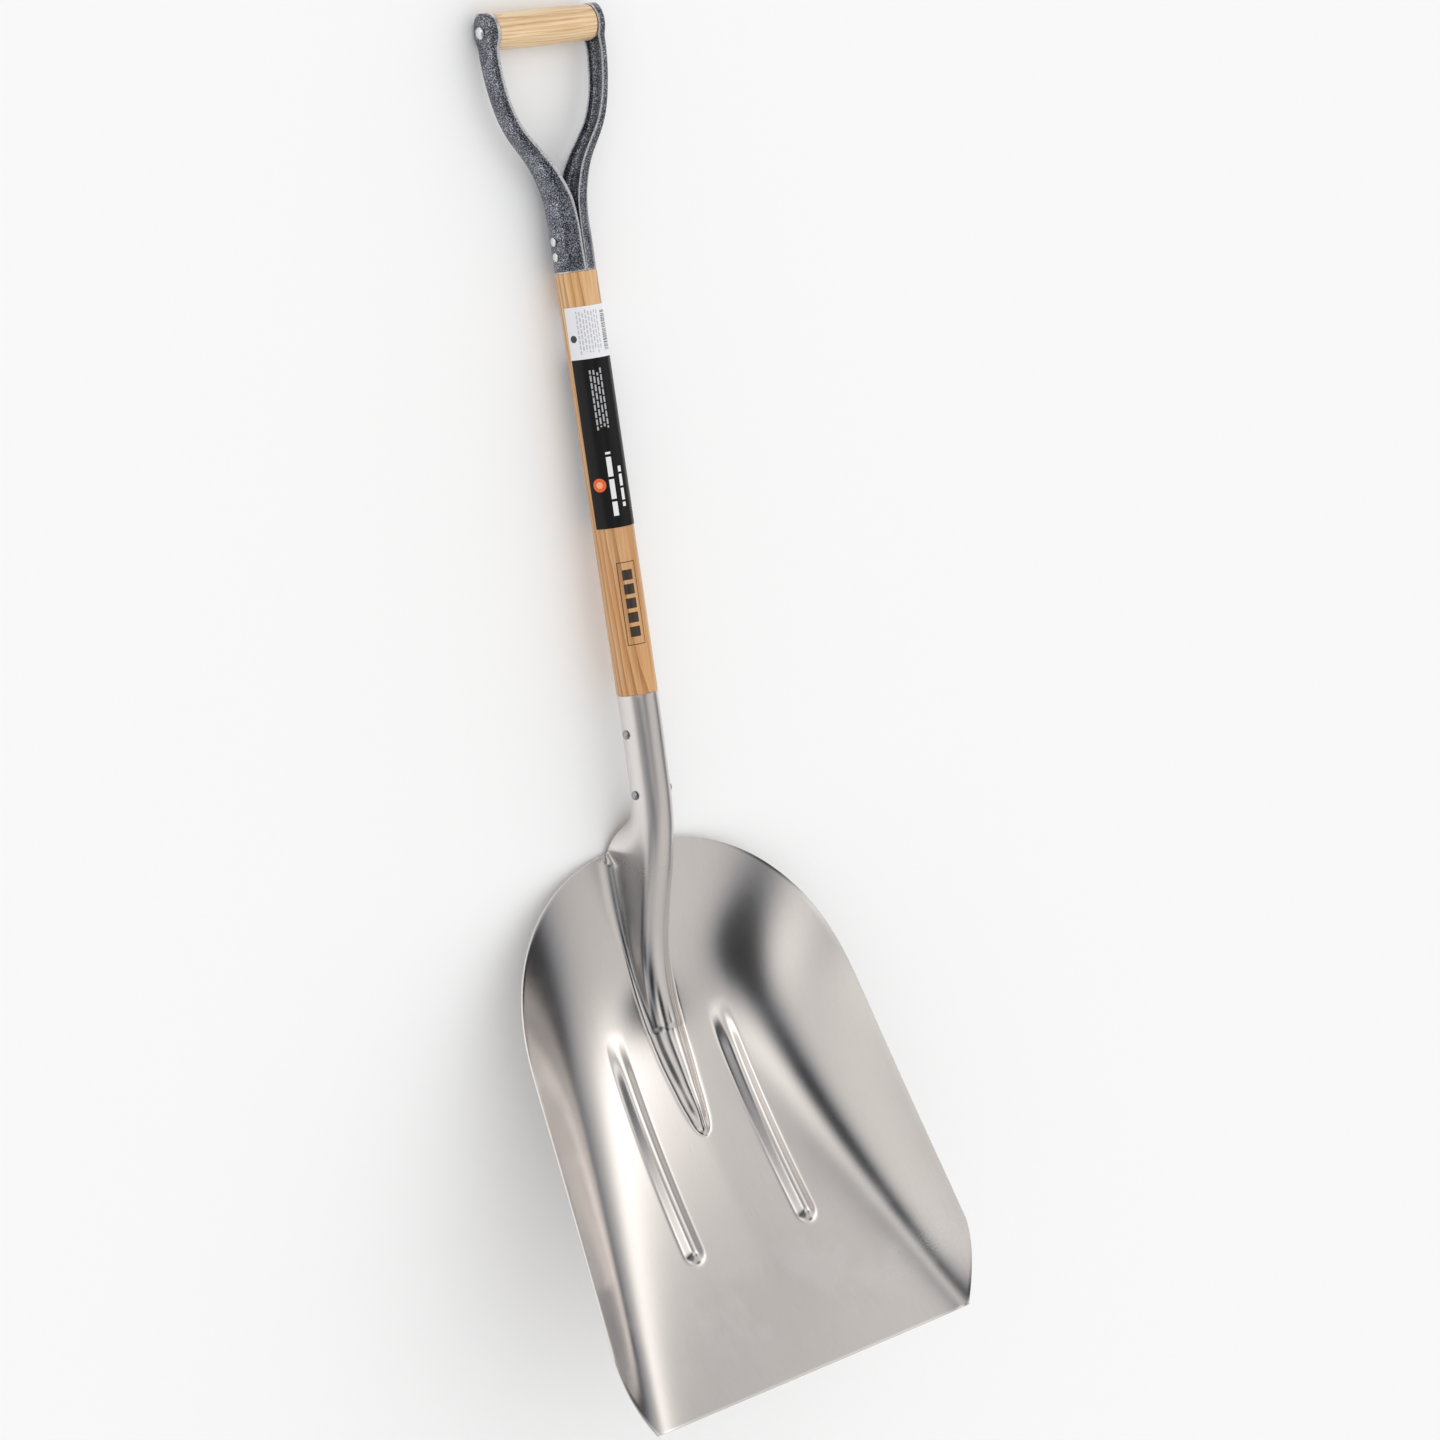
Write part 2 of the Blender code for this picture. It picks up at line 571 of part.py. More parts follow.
def arm_section(path_u, s_extra, shrink, k):
    """Half-round to channel section of one arm, open towards the middle."""
    p = ARM_AT(path_u)[0]
    e = 0.0006
    t = ARM_AT(min(path_u + e, ARM_LEN))[0] - ARM_AT(max(path_u - e, 0.0))[0]
    t = t / np.linalg.norm(t)
    if s_extra > 0.0:
        t = np.array([0.0, 1.0])
    s = p[1] + s_extra
    inward = np.array([-t[1], t[0]])
    hd, fl, pw = arm_half_depth(s), arm_reach(s), arm_power(s)
    if s_extra > 0.0:
        r2 = (EYE_R - shrink) ** 2 - s_extra ** 2
        hd = math.sqrt(max(r2, 0.0)) + shrink
    pts = []
    for j in range(k + 1):
        a = -0.5 * math.pi + math.pi * j / k
        ca, sa = math.cos(a), math.sin(a)
        depth = (fl - shrink) * max(ca, 0.0) ** (2.0 / pw)
        n = (hd - shrink) * math.copysign(abs(sa) ** (2.0 / pw), sa)
        # distance in from the outer face
        w = fl - depth
        xy = p + inward * w + np.array([0.0, s_extra])
        pts.append((xy[0], xy[1], n))
    return pts

def arm_grid(shrink, k=12, rows=19, rows_eye=5):
    us = []
    grid = []
    for i in range(rows + 1):
        f = i / rows
        grid.append(arm_section(ARM_LEN * f, 0.0, shrink, k))
    top = EYE_R - shrink
    for i in range(1, rows_eye + 1):
        a = 0.5 * math.pi * i / rows_eye
        grid.append(arm_section(ARM_LEN, top * math.sin(a), shrink, k))
    return np.array(grid)

def arm_object(name, side):
    def place(g):
        out = np.empty_like(g)
        for idx in np.ndindex(g.shape[:2]):
            x, s, n = g[idx]
            out[idx] = handle_point(s, side * x, n)
        return out
    return sheet_solid(name, place(arm_grid(0.0)), place(arm_grid(STEEL)), folded=True)

arm_left = arm_object("grip_arm_left", 1.0)
arm_right = arm_object("grip_arm_right", -1.0)

# ------------------------------------------------------------------- hand grip
def turned(name, centre, profile_pts, k=24, phase=0.0):
    """Turned along X through centre; profile is (x, radius), closed at the ends."""
    rings = []
    c = np.array(centre)
    d1 = np.array([0.0, AX[0], AX[1]])
    d2 = np.array([0.0, AN[0], AN[1]])
    for x, r in profile_pts:
        rings.append([c + np.array([x, 0.0, 0.0]) + r * (math.cos(phase + 2 * math.pi * j / k) * d1 + math.sin(phase + 2 * math.pi * j / k) * d2)
                      for j in range(k)])
    return ring_solid(name, rings)

INNER = EYE_X - STEEL
CUP_RIM = EYE_X - 0.0100
grip_prof = []
half = [(0.0, GRIP_R + 0.0004), (0.020, GRIP_R + 0.0003), (0.040, GRIP_R), (CUP_RIM - 0.0030, GRIP_R - 0.0003),
        (CUP_RIM - 0.0008, GRIP_R - 0.0010), (CUP_RIM - 0.0008, EYE_R - STEEL - 0.0012), (INNER - 0.0050, EYE_R - STEEL - 0.0012),
        (INNER - 0.0028, EYE_R - STEEL - 0.0032), (INNER - 0.0012, EYE_R - STEEL - 0.0060)]
grip_prof = [(-x, r) for x, r in half[:0:-1]] + half
hand_grip = turned("hand_grip", handle_point(GRIP_S), grip_prof, 28)

# ---------------------------------------------------------------------- rivets
def rivet(name, s, half_span, shank, head_r, head_h, seat=GAP):
    """Through rivet along X with a domed head on each side."""
    h = half_span + seat
    prof = [(h, shank), (h, head_r)]
    for i in range(1, 4):
        a = 0.5 * math.pi * i / 4
        prof.append((h + head_h * math.sin(a), head_r * math.cos(a)))
    prof = [(-x, r) for x, r in prof[::-1]] + prof
    return turned(name, handle_point(s), prof, 14)

def hole(name, s, half_span, rad):
    ob = turned(name, handle_point(s), [(-half_span, rad), (half_span, rad)], 16, 0.11)
    return ob

rivet("grip_rivet", GRIP_S, EYE_X, 0.0028, 0.0058, 0.0036)
h = hole("cut_grip_rivet", GRIP_S, 0.080, 0.0032)
for ob in (arm_left, arm_right, hand_grip):
    cut(ob, h)

for name, ds in zip(("collar_rivet_lower", "collar_rivet_upper"), RIVET_COLLAR):
    rivet(name, SHAFT_LEN + ds, COLLAR_R, 0.0022, 0.0042, 0.0018)
    h = hole("cut_" + name, SHAFT_LEN + ds, 0.040, 0.0026)
    for ob in (arm_left, arm_right, shaft):
        cut(ob, h)

for name, ds in zip(("socket_rivet_upper", "socket_rivet_lower"), RIVET_SOCKET):
    rivet(name, -ds, SOCKET_R, 0.0022, 0.0044, 0.0026)
    h = hole("cut_" + name, -ds, 0.040, 0.0026)
    for ob in (blade, shaft):
        cut(ob, h)

# ----------------------------------------------------------------------- label
def label_grid(rad):
    rows = []
    for i in range(5):
        s = LABEL_S[0] + (LABEL_S[1] - LABEL_S[0]) * i / 4
        row = []
        for j in range(21):
            a = math.radians(LABEL_A[0] + (LABEL_A[1] - LABEL_A[0]) * j / 20)
            row.append(handle_point(s, rad * math.sin(a), rad * math.cos(a)))
        rows.append(row)
    return np.array(rows)

sheet_solid("label", label_grid(SHAFT_R + 0.0001 + 0.0009), label_grid(SHAFT_R + 0.0001 + 0.0005))

# ------------------------------------------------------- laid down on the ground
bpy.context.view_layer.update()
solids = [o for o in bpy.data.objects if o.type == "MESH" and not o.hide_render]
def points(names):
    return np.array([v.co[:] for o in solids if o.name in names for v in o.data.vertices])
heel = points({"blade"})
ends = points({"grip_arm_left", "grip_arm_right", "hand_grip", "grip_rivet"})
def lowest(tilt):
    c, s = math.cos(tilt), math.sin(tilt)
    zz = lambda p: (-s * p[:, 1] + c * p[:, 2]).min()
    return zz(heel) - zz(ends)
lo, hi = 0.0, math.radians(60.0)
for _ in range(60):
    mid = 0.5 * (lo + hi)
    if lowest(mid) < 0.0:
        lo = mid
    else:
        hi = mid
TILT = 0.5 * (lo + hi)
rot = Matrix.Rotation(math.pi, 4, "Z") @ Matrix.Rotation(-TILT, 4, "X")
allp = np.array([(rot @ Vector(p))[:] for p in np.concatenate([points({o.name}) for o in solids])])
low, high = allp.min(axis=0), allp.max(axis=0)
shift = Vector((-(low[0] + high[0]) / 2, -(low[1] + high[1]) / 2, -low[2]))
frame = bpy.data.objects.new("scoop_frame", None)
bpy.context.scene.collection.objects.link(frame)
frame.matrix_world = Matrix.Translation(shift) @ rot
for o in bpy.data.objects:
    if o.type == "MESH":
        o.parent = frame
bpy.context.view_layer.update()
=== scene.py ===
# Looks of the aluminium scoop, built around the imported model.
import math
import bpy
import bmesh
import numpy as np
from mathutils import Matrix, Vector


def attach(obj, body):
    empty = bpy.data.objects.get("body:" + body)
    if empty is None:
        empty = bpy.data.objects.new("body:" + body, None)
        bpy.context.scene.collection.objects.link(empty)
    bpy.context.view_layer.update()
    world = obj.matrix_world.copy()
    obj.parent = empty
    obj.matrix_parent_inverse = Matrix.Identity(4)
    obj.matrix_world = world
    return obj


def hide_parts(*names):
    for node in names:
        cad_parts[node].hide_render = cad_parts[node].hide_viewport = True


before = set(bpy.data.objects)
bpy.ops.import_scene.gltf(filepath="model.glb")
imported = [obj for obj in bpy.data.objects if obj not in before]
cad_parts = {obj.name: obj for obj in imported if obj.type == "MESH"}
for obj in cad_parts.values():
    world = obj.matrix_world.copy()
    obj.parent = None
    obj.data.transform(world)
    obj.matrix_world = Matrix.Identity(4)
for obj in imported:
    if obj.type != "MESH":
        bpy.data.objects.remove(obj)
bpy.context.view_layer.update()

# ------------------------------------------------------------------ dimensions
# metres; laid out in the scoop's own frame (middle of the front lip, +Y back
# along the floor, +Z out of the open side), then laid down like the CAD
GAP = 0.0003                 # clearance between touching pieces

SHEET = 0.0020               # aluminium sheet
LIP_HALF = 0.1905            # half the width of the straight front lip
CORNER_Y = 0.074             # the oblique front corner runs back this far ...
CORNER_X = 0.2138            # ... and out this far
RIM_SLOPE = 0.209            # the rim lies in a plane that climbs to the back
RIM_Z0 = 0.0188
BACK_Y = 0.335               # where the rounded back of the rim starts
BACK_DEPTH = 0.1785          # from there to the back of the rim
BACK_HALF = 0.1928           # half the width there
SIDE_TAPER = 0.0661          # the sides open out towards the front
SIDE_CURVE = 0.059           # 1/m
BACK_POWER = 2.2             # squareness of the rounded back
RIM_END = 0.030              # the rim runs in to here beside the frog
RIM_EASE = 0.030             # how gently the straight sides turn into the back
FLOOR_RISE = 0.1894          # the floor climbs towards the back
FLOOR_RISE_Y = 0.2268
FLOOR_SOFT = 0.0604
BEND_IN = 0.1805             # the bend up into the wall runs in towards the back
BEND_SOFT = (0.0300, 0.1743) # softness of that bend, in front and behind
BACK_BEND = 0.4675           # where the bend lies at the very back, of the half width
BACK_SOFT = 0.4546
BACK_EASE = 0.0588           # how gently the rounded back takes over
BACK_MIX = 0.2938
SIDE_MIX = 0.8446

RIB_X = (0.0685, 0.0630)     # bead centre line at its front and back ends
RIB_Y = (0.1455, 0.3690)
RIB_HALF = 0.0142
RIB_HEIGHT = 0.0038
RIB_FADE = 0.054             # length over which its back end runs out

SOCKET_R = 0.0195            # outside radius of the rolled socket
SOCKET_MOUTH = (0.6164, 0.2455)   # y, z of the socket's mouth on its axis
LIFT = math.radians(33.3)    # handle axis above the front of the floor
# the crest of the frog, from its point up to the straight socket: (y, z)
CREST = [(0.2465, 0.0102), (0.250, 0.0138), (0.257, 0.0166), (0.265, 0.0194),
         (0.293, 0.0275), (0.322, 0.0352), (0.352, 0.0435), (0.402, 0.0715),
         (0.455, 0.1325), (0.500, 0.1862), (0.553, 0.2262)]
STEP_Y = 0.3525              # the crest drops a little in front of the wood's end
STEP_HEIGHT = 0.0010

SHAFT_R = 0.0197             # bare ash shaft
TENON_R = 0.0171             # where it enters the socket and the collar
SHAFT_LEN = 0.3994           # bare length between socket and collar
TENON_TOP = 0.050            # length inside the collar

COLLAR_R = 0.0194
GRIP_S = 0.6225              # from the socket's mouth to the hand grip's axis
EYE_X = 0.0650               # outer face of the eyes
EYE_R = 0.0175
STEEL = 0.0020
GRIP_R = 0.0166

RIVET_SOCKET = (0.0369, 0.0959)    # below the socket's mouth
RIVET_COLLAR = (0.0150, 0.0290)    # above the collar's lower edge
LABEL_S = (0.160, 0.367)           # along the shaft from the socket's mouth
LABEL_A = (-85.0, 215.0)           # degrees round the shaft from the front


# how the scoop lies: turned round, and tipped on to its heel and grip
TILT = math.radians(35.49866623398276)
LAY = Matrix.Translation((0.0, 0.6414788365364075, 0.19942787289619446)) @ Matrix.Rotation(math.pi, 4, "Z") @ Matrix.Rotation(-TILT, 4, "X")
LAY_NP = np.array(LAY)

def laid(p):
    p = np.asarray(p, float)
    return p @ LAY_NP[:3, :3].T + LAY_NP[:3, 3]

# --------------------------------------------------------------------- helpers
def smooth(t):
    t = np.clip(t, 0.0, 1.0)
    return t * t * (3.0 - 2.0 * t)

def spline(points):
    """Natural cubic spline through points; returns a function of chord length."""
    p = np.asarray(points, float)
    s = np.concatenate([[0.0], np.cumsum(np.linalg.norm(np.diff(p, axis=0), axis=1))])
    n = len(s)
    h = np.diff(s)
    a = np.eye(n)
    r = np.zeros((n, p.shape[1]))
    for i in range(1, n - 1):
        a[i, i - 1], a[i, i], a[i, i + 1] = h[i - 1], 2 * (h[i - 1] + h[i]), h[i]
        r[i] = 6 * ((p[i + 1] - p[i]) / h[i] - (p[i] - p[i - 1]) / h[i - 1])
    m = np.linalg.solve(a, r)

    def at(u):
        u = np.clip(np.atleast_1d(np.asarray(u, float)), s[0], s[-1])
        k = np.clip(np.searchsorted(s, u, side="right") - 1, 0, n - 2)
        d = (u - s[k])[:, None]
        e = (s[k + 1] - u)[:, None]
        hh = h[k][:, None]
        return (m[k] * e ** 3 + m[k + 1] * d ** 3) / (6 * hh) \
            + (p[k] / hh - m[k] * hh / 6) * e + (p[k + 1] / hh - m[k + 1] * hh / 6) * d
    return at, s[-1]

# ------------------------------------------------------- the shape of the scoop
def rim_z(y):
    return RIM_Z0 + RIM_SLOPE * y

def side_x(y):
    d = BACK_Y - y
    return BACK_HALF + SIDE_TAPER * d + SIDE_CURVE * d * d

def ease(d, c):
    """Nothing, then climbing as d, with a soft turn of size c in between."""
    return 0.5 * (d + np.sqrt(d * d + c * c))

def back_t(y, c):
    """0 along the straight sides, 1 at the back of the rim."""
    return ease(y - BACK_Y, c) / ease(BACK_DEPTH, c)

def rim_x(y):
    """Half the width between the rims."""
    left = np.maximum(1.0 - back_t(y, RIM_EASE) ** BACK_POWER, 0.0)
    return side_x(y) * left ** (1.0 / BACK_POWER)

def floor_z(y):
    u = (y - FLOOR_RISE_Y) / FLOOR_SOFT
    return FLOOR_RISE * FLOOR_SOFT * np.logaddexp(0.0, u)

def climb(t, w):
    """Area under a soft step that takes w to rise from 0 to 1."""
    u = np.clip(t / w, 0.0, 1.0)
    return w * (u ** 3 - 0.5 * u ** 4) + np.maximum(t - w, 0.0)

def bead(x, y):
    """Height of the two raised beads: two flat flanks that meet in a narrow
    round, crisp in front, running out behind."""
    t = np.clip((y - RIB_Y[0]) / (RIB_Y[1] - RIB_Y[0]), 0.0, 1.0)
    cx = RIB_X[0] + (RIB_X[1] - RIB_X[0]) * t
    dy = np.maximum(RIB_Y[0] - y, 0.0)
    d = np.minimum(np.hypot(np.abs(x) - cx, dy) / RIB_HALF, 1.0)
    flank = 1.0 - (climb(d, 0.34) - climb(d - 0.66, 0.34)) / (1.0 - 0.17 - 0.17)
    return RIB_HEIGHT * flank * (1.0 - smooth((y - RIB_Y[1] + RIB_FADE) / RIB_FADE))

def bowl_z(x, y):
    """Height of the scoop's inner face, without the frog."""
    x = np.abs(x)
    yc = np.minimum(y, BACK_Y + 0.9995 * BACK_DEPTH)
    t = back_t(yc, BACK_EASE)
    a = rim_x(yc) / (1.0 - t ** BACK_POWER) ** (1.0 / BACK_POWER)
    t = back_t(y, BACK_EASE)
    # r is 0 in the middle of the floor and 1 on the rim
    r = ((x / a) ** BACK_POWER + t ** BACK_POWER) ** (1.0 / BACK_POWER)
    back = (t / np.maximum(r, 1e-9)) ** (BACK_POWER * BACK_MIX)
    yy = y - ease(y - BACK_Y, BACK_EASE)
    rb = (LIP_HALF - BEND_IN * yy) / side_x(yy)
    w = BEND_SOFT[0] + (BEND_SOFT[1] - BEND_SOFT[0]) * smooth(yy / 0.36) ** SIDE_MIX
    rb = rb + (BACK_BEND - rb) * back
    w = w + (BACK_SOFT - w) * back
    h = lambda q: 0.5 * ((q - rb) + np.sqrt((q - rb) ** 2 + w * w))
    g = (h(r) - h(0.0)) / (h(1.0) - h(0.0))
    base = floor_z(y)
    return base + (rim_z(y) - base) * g + bead(x, y)

def wall_z(x, y):
    return bowl_z(x, y)

# the rim, as a curve from the lip's corner to the back
def rim_point(s):
    """s from 0 at the lip's corner to 1 where the rim meets the frog."""
    s = np.atleast_1d(np.asarray(s, float))
    out = np.empty((len(s), 2))
    for i, q in enumerate(s):
        out[i] = RIM_AT(q)
    return out

def build_rim():
    pts = []
    # the oblique, slightly bowed front corner
    for k in range(13):
        f = k / 12.0
        y = CORNER_Y * f
        x = LIP_HALF + (CORNER_X - LIP_HALF) * (1.0 - (1.0 - f) ** 1.9)
        pts.append((x, y))
    n = 60
    for k in range(1, n + 1):
        y = CORNER_Y + (BACK_Y - CORNER_Y) * k / n
        pts.append((float(rim_x(y)) + (CORNER_X - float(rim_x(CORNER_Y))) * max(0.0, 1.0 - k / 8.0), y))
    n = 160
    first = math.asin(float(back_t(BACK_Y, RIM_EASE)) ** (0.5 * BACK_POWER))
    for k in range(1, n + 1):
        th = first + (0.5 * math.pi - first) * k / n
        d = math.sin(th) ** (2.0 / BACK_POWER) * float(ease(BACK_DEPTH, RIM_EASE))
        y = BACK_Y + d - RIM_EASE ** 2 / (4.0 * d)
        x = float(side_x(y)) * math.cos(th) ** (2.0 / BACK_POWER)
        if x < RIM_END:
            break
        pts.append((x, y))
    p = np.array(pts)
    d = np.concatenate([[0.0], np.cumsum(np.linalg.norm(np.diff(p, axis=0), axis=1))])
    return p, d

RIM_P, RIM_D = build_rim()
RIM_LEN = RIM_D[-1]
RIM_CORNER = RIM_D[12] / RIM_LEN

def RIM_AT(q):
    u = q * RIM_LEN
    return np.array([np.interp(u, RIM_D, RIM_P[:, 0]), np.interp(u, RIM_D, RIM_P[:, 1])])

# ------------------------------------------------------- the frog and the socket
AX = np.array([math.cos(LIFT), math.sin(LIFT)])          # along the handle, in y, z
AN = np.array([-math.sin(LIFT), math.cos(LIFT)])         # its upper side
MOUTH = np.array(SOCKET_MOUTH)
crest_pts = list(CREST) + [tuple(MOUTH - 0.030 * AX + SOCKET_R * AN), tuple(MOUTH + SOCKET_R * AN)]
CREST_AT, CREST_LEN = spline(crest_pts)
_u = np.linspace(0.0, CREST_LEN, 1200)
_c = CREST_AT(_u)
_s = np.concatenate([[0.0], np.cumsum(np.linalg.norm(np.diff(_c, axis=0), axis=1))])
FROG_LEN = _s[-1]

def crest(s):
    """Point and unit tangent of the crest at arc length s from the frog's point."""
    u = np.interp(s, _s, _u)
    e = 0.0005
    p = CREST_AT(u)[0]
    t = CREST_AT(min(u + e, CREST_LEN))[0] - CREST_AT(max(u - e, 0.0))[0]
    return p, t / np.linalg.norm(t)

def frog_radius(y):
    return 0.0060 + (SOCKET_R - 0.0060) * smooth((y - 0.240) / 0.122)

def frog_slope(y):
    """Angle of the frog's side walls, 90 is upright."""
    return math.radians(46.0 + 22.0 * float(smooth((y - 0.29) / 0.15)))

S_AT_Y = lambda y: float(np.interp(y, _c[:, 0], _s))
S_END_BOWL = S_AT_Y(0.476)         # the last section that still has the bowl
S_WRAP = S_AT_Y(0.531)             # from here the sheet is rolled right round

def frog_step(s):
    return STEP_HEIGHT * smooth((s - 0.030) / 0.030) * (1.0 - smooth((s - S_AT_Y(STEP_Y)) / 0.003 + 0.5))

def profile(kappa_psi, length, n=160):
    """Section curve from the crest: its direction angle psi over arc length."""
    q = np.linspace(0.0, length, n)
    psi = kappa_psi(q)
    dq = np.diff(q)
    mid = 0.5 * (psi[1:] + psi[:-1])
    x = np.concatenate([[0.0], np.cumsum(np.cos(mid) * dq)])
    d = np.concatenate([[0.0], np.cumsum(np.sin(mid) * dq)])
    return q, x, d                 # sideways and down from the crest

WRAP_LEN = SOCKET_R * math.radians(178.0)

def psi_ridge(q, rad, slope):
    return np.minimum(q / rad, slope)

def flare_section(s):
    """Section beyond the bowl: the last one with a bowl, rolled up step by step
    until the sheet runs right round the socket."""
    f = min(max((s - S_END_BOWL) / (S_WRAP - S_END_BOWL), 0.0), 1.0)
    b = float(smooth(1.0 - (1.0 - f) ** 1.7))
    length = LAST_LEN + (WRAP_LEN - LAST_LEN) * b
    def psi(q):
        g = q / length
        return (1.0 - b) * np.interp(g, LAST_F, LAST_PSI) + b * (g * WRAP_LEN / SOCKET_R)
    p, t = crest(s)
    nrm = np.array([-t[1], t[0]])
    q, x, d = profile(psi, length)
    w = (1.0 - b) ** 2 * np.interp(q / length, LAST_F, LAST_W)
    pts = np.empty((len(q), 3))
    pts[:, 0] = x
    pts[:, 1] = p[0] - nrm[0] * d + t[0] * w
    pts[:, 2] = p[1] - nrm[1] * d + t[1] * w
    return pts

def bowl_section(spine_y, s, rim_q):
    """Section from the middle line out to the rim; s < 0 means in front of the frog."""
    e = RIM_AT(rim_q)
    if s <= 0.0:
        a = np.array([0.0, spine_y])
        q = np.linspace(0.0, 1.0, 260)[:, None]
        xy = a + (e - a) * q
        strip = np.empty((0, 3))
    else:
        p, t = crest(s)
        nrm = np.array([-t[1], t[0]])
        rad = float(frog_radius(p[0]))
        slope = frog_slope(p[0])
        p = p - nrm * float(frog_step(s))
        q, x, d = profile(lambda v: psi_ridge(v, rad, slope), 0.085, 340)
        y = p[0] - nrm[0] * d
        z = p[1] - nrm[1] * d
        over = z - wall_z(x, y)
        below = np.nonzero(over <= 0.0)[0]
        if over[0] <= 0.0:
            k, f, qj = 0, 0.0, 0.0
        else:
            k = below[0]
            f = over[k - 1] / (over[k - 1] - over[k])
            qj = q[k - 1] + f * (q[k] - q[k - 1])
        xj, yj = np.interp(qj, q, x), np.interp(qj, q, y)
        a = np.array([xj, yj])
        w = np.linspace(0.0, 1.0, 260)[:, None]
        xy = a + (e - a) * w
        keep = q < qj - 1e-9
        strip = np.stack([x[keep], y[keep], z[keep]], axis=1)
    bowl = np.column_stack([xy, wall_z(xy[:, 0], xy[:, 1])])
    if len(strip) < 3:
        return bowl
    # round the inside corner between the frog's side and the bowl
    back = np.concatenate([[0.0], np.cumsum(np.linalg.norm(np.diff(strip[::-1], axis=0), axis=1))])
    out = np.concatenate([[0.0], np.cumsum(np.linalg.norm(np.diff(bowl, axis=0), axis=1))])
    set_ = min(0.0060 + 0.010 * float(smooth((s - S_AT_Y(0.40)) / 0.07)), 0.62 * back[-1], 0.8 * out[-1])
    i = np.searchsorted(back, set_)
    j = np.searchsorted(out, set_)
    st = strip[: len(strip) - i]
    bo = bowl[j:]
    if len(st) < 2:
        st = strip[:2]
    p0, p3 = st[-1], bo[0]
    d0 = st[-1] - st[-2]
    d0 = d0 / np.linalg.norm(d0)
    d3 = bo[1] - bo[0]
    d3 = d3 / np.linalg.norm(d3)
    arm = 0.36 * np.linalg.norm(p3 - p0) + 0.12 * set_
    c1, c2 = p0 + d0 * arm, p3 - d3 * arm
    w = np.linspace(0.0, 1.0, 14)[1:-1, None]
    bez = (1 - w) ** 3 * p0 + 3 * (1 - w) ** 2 * w * c1 + 3 * (1 - w) * w * w * c2 + w ** 3 * p3
    return np.concatenate([st, bez, bo])

def resample(pts, n):
    """n+1 points along a section, closer together on the frog and on the beads."""
    seg = np.linalg.norm(np.diff(pts, axis=0), axis=1)
    mid = 0.5 * (pts[1:] + pts[:-1])
    x = mid[:, 0]
    near = 1.0 - smooth((x - 0.028) / 0.022)
    run = np.clip((mid[:, 1] - RIB_Y[0]) / (RIB_Y[1] - RIB_Y[0]), 0.0, 1.0)
    side = np.abs(x - RIB_X[0] - (RIB_X[1] - RIB_X[0]) * run)
    held = smooth((mid[:, 1] - 0.08) / 0.06) * (1.0 - smooth((mid[:, 1] - 0.37) / 0.05))
    wgt = 0.8 + 1.7 * near + 2.2 * held * (1.0 - smooth((side - 0.012) / 0.010))
    d = np.concatenate([[0.0], np.cumsum(seg * wgt)])
    u = np.linspace(0.0, d[-1], n + 1)
    return np.column_stack([np.interp(u, d, pts[:, k]) for k in range(3)])

def last_bowl_section():
    """The last section with a bowl, as direction angles in the plane across the frog."""
    pts = bowl_section(CREST[0][0], S_END_BOWL, 1.0)
    p, t = crest(S_END_BOWL)
    rel = pts[:, 1:] - p
    d = -(rel[:, 0] * -t[1] + rel[:, 1] * t[0])
    w = rel[:, 0] * t[0] + rel[:, 1] * t[1]
    x = pts[:, 0]
    q = np.concatenate([[0.0], np.cumsum(np.hypot(np.diff(x), np.diff(d)))])
    u = np.linspace(0.0, q[-1], 90)
    xi, di, wi = (np.interp(u, q, v) for v in (x, d, w))
    psi = np.arctan2(np.gradient(di), np.gradient(xi))
    return u / q[-1], psi, wi, q[-1]

LAST_F, LAST_PSI, LAST_W, LAST_LEN = last_bowl_section()

def stations(rows_bowl, rows_flare, rows_socket):
    """(spine y, crest arc length, rim fraction) of each row."""
    out = []
    y_tip = CREST[0][0]
    # distance along the middle line, with the frog's own arc length behind its point
    total = y_tip + S_END_BOWL
    for k in range(rows_bowl + 1):
        f = k / rows_bowl
        m = total * f
        y, s = (m, -1.0) if m < y_tip else (y_tip, m - y_tip)
        key_m = np.array([0.0, 0.070, 0.300, 0.400, total])
        key_r = np.array([0.0, RIM_CORNER, 0.560, 0.740, 1.0])
        out.append((y, s, float(np.interp(m, key_m, key_r))))
    return out

def half_blade(n, rows_bowl, rows_flare, rows_socket):
    rows = []
    for y, s, r in stations(rows_bowl, rows_flare, rows_socket):
        rows.append(resample(bowl_section(y, s, r), n))
    for k in range(1, rows_flare + 1):
        s = S_END_BOWL + (S_WRAP - S_END_BOWL) * k / rows_flare
        rows.append(resample(flare_section(s), n))
    for k in range(1, rows_socket + 1):
        s = S_WRAP + (FROG_LEN - S_WRAP) * k / rows_socket
        rows.append(resample(flare_section(s), n))
    return np.array(rows)

def full_sheet(half):
    left = half[:, :0:-1].copy()
    left[:, :, 0] *= -1.0
    mid = half[:, :1].copy()
    mid[:, :, 0] = 0.0
    return np.concatenate([left, mid, half[:, 1:]], axis=1)

def offset(grid, depth):
    du = np.gradient(grid, axis=1)
    dv = np.gradient(grid, axis=0)
    n = np.cross(du, dv)
    n /= np.maximum(np.linalg.norm(n, axis=2, keepdims=True), 1e-12)
    return grid - depth * n


def handle_point(s, x=0.0, n=0.0):
    """Point at s along the handle from the socket's mouth, x right, n to the front."""
    p = MOUTH + s * AX + n * AN
    return np.array([x, p[0], p[1]])

def handle_ring(s, rad, k=24):
    return [handle_point(s, rad * math.sin(2 * math.pi * j / k), rad * math.cos(2 * math.pi * j / k)) for j in range(k)]

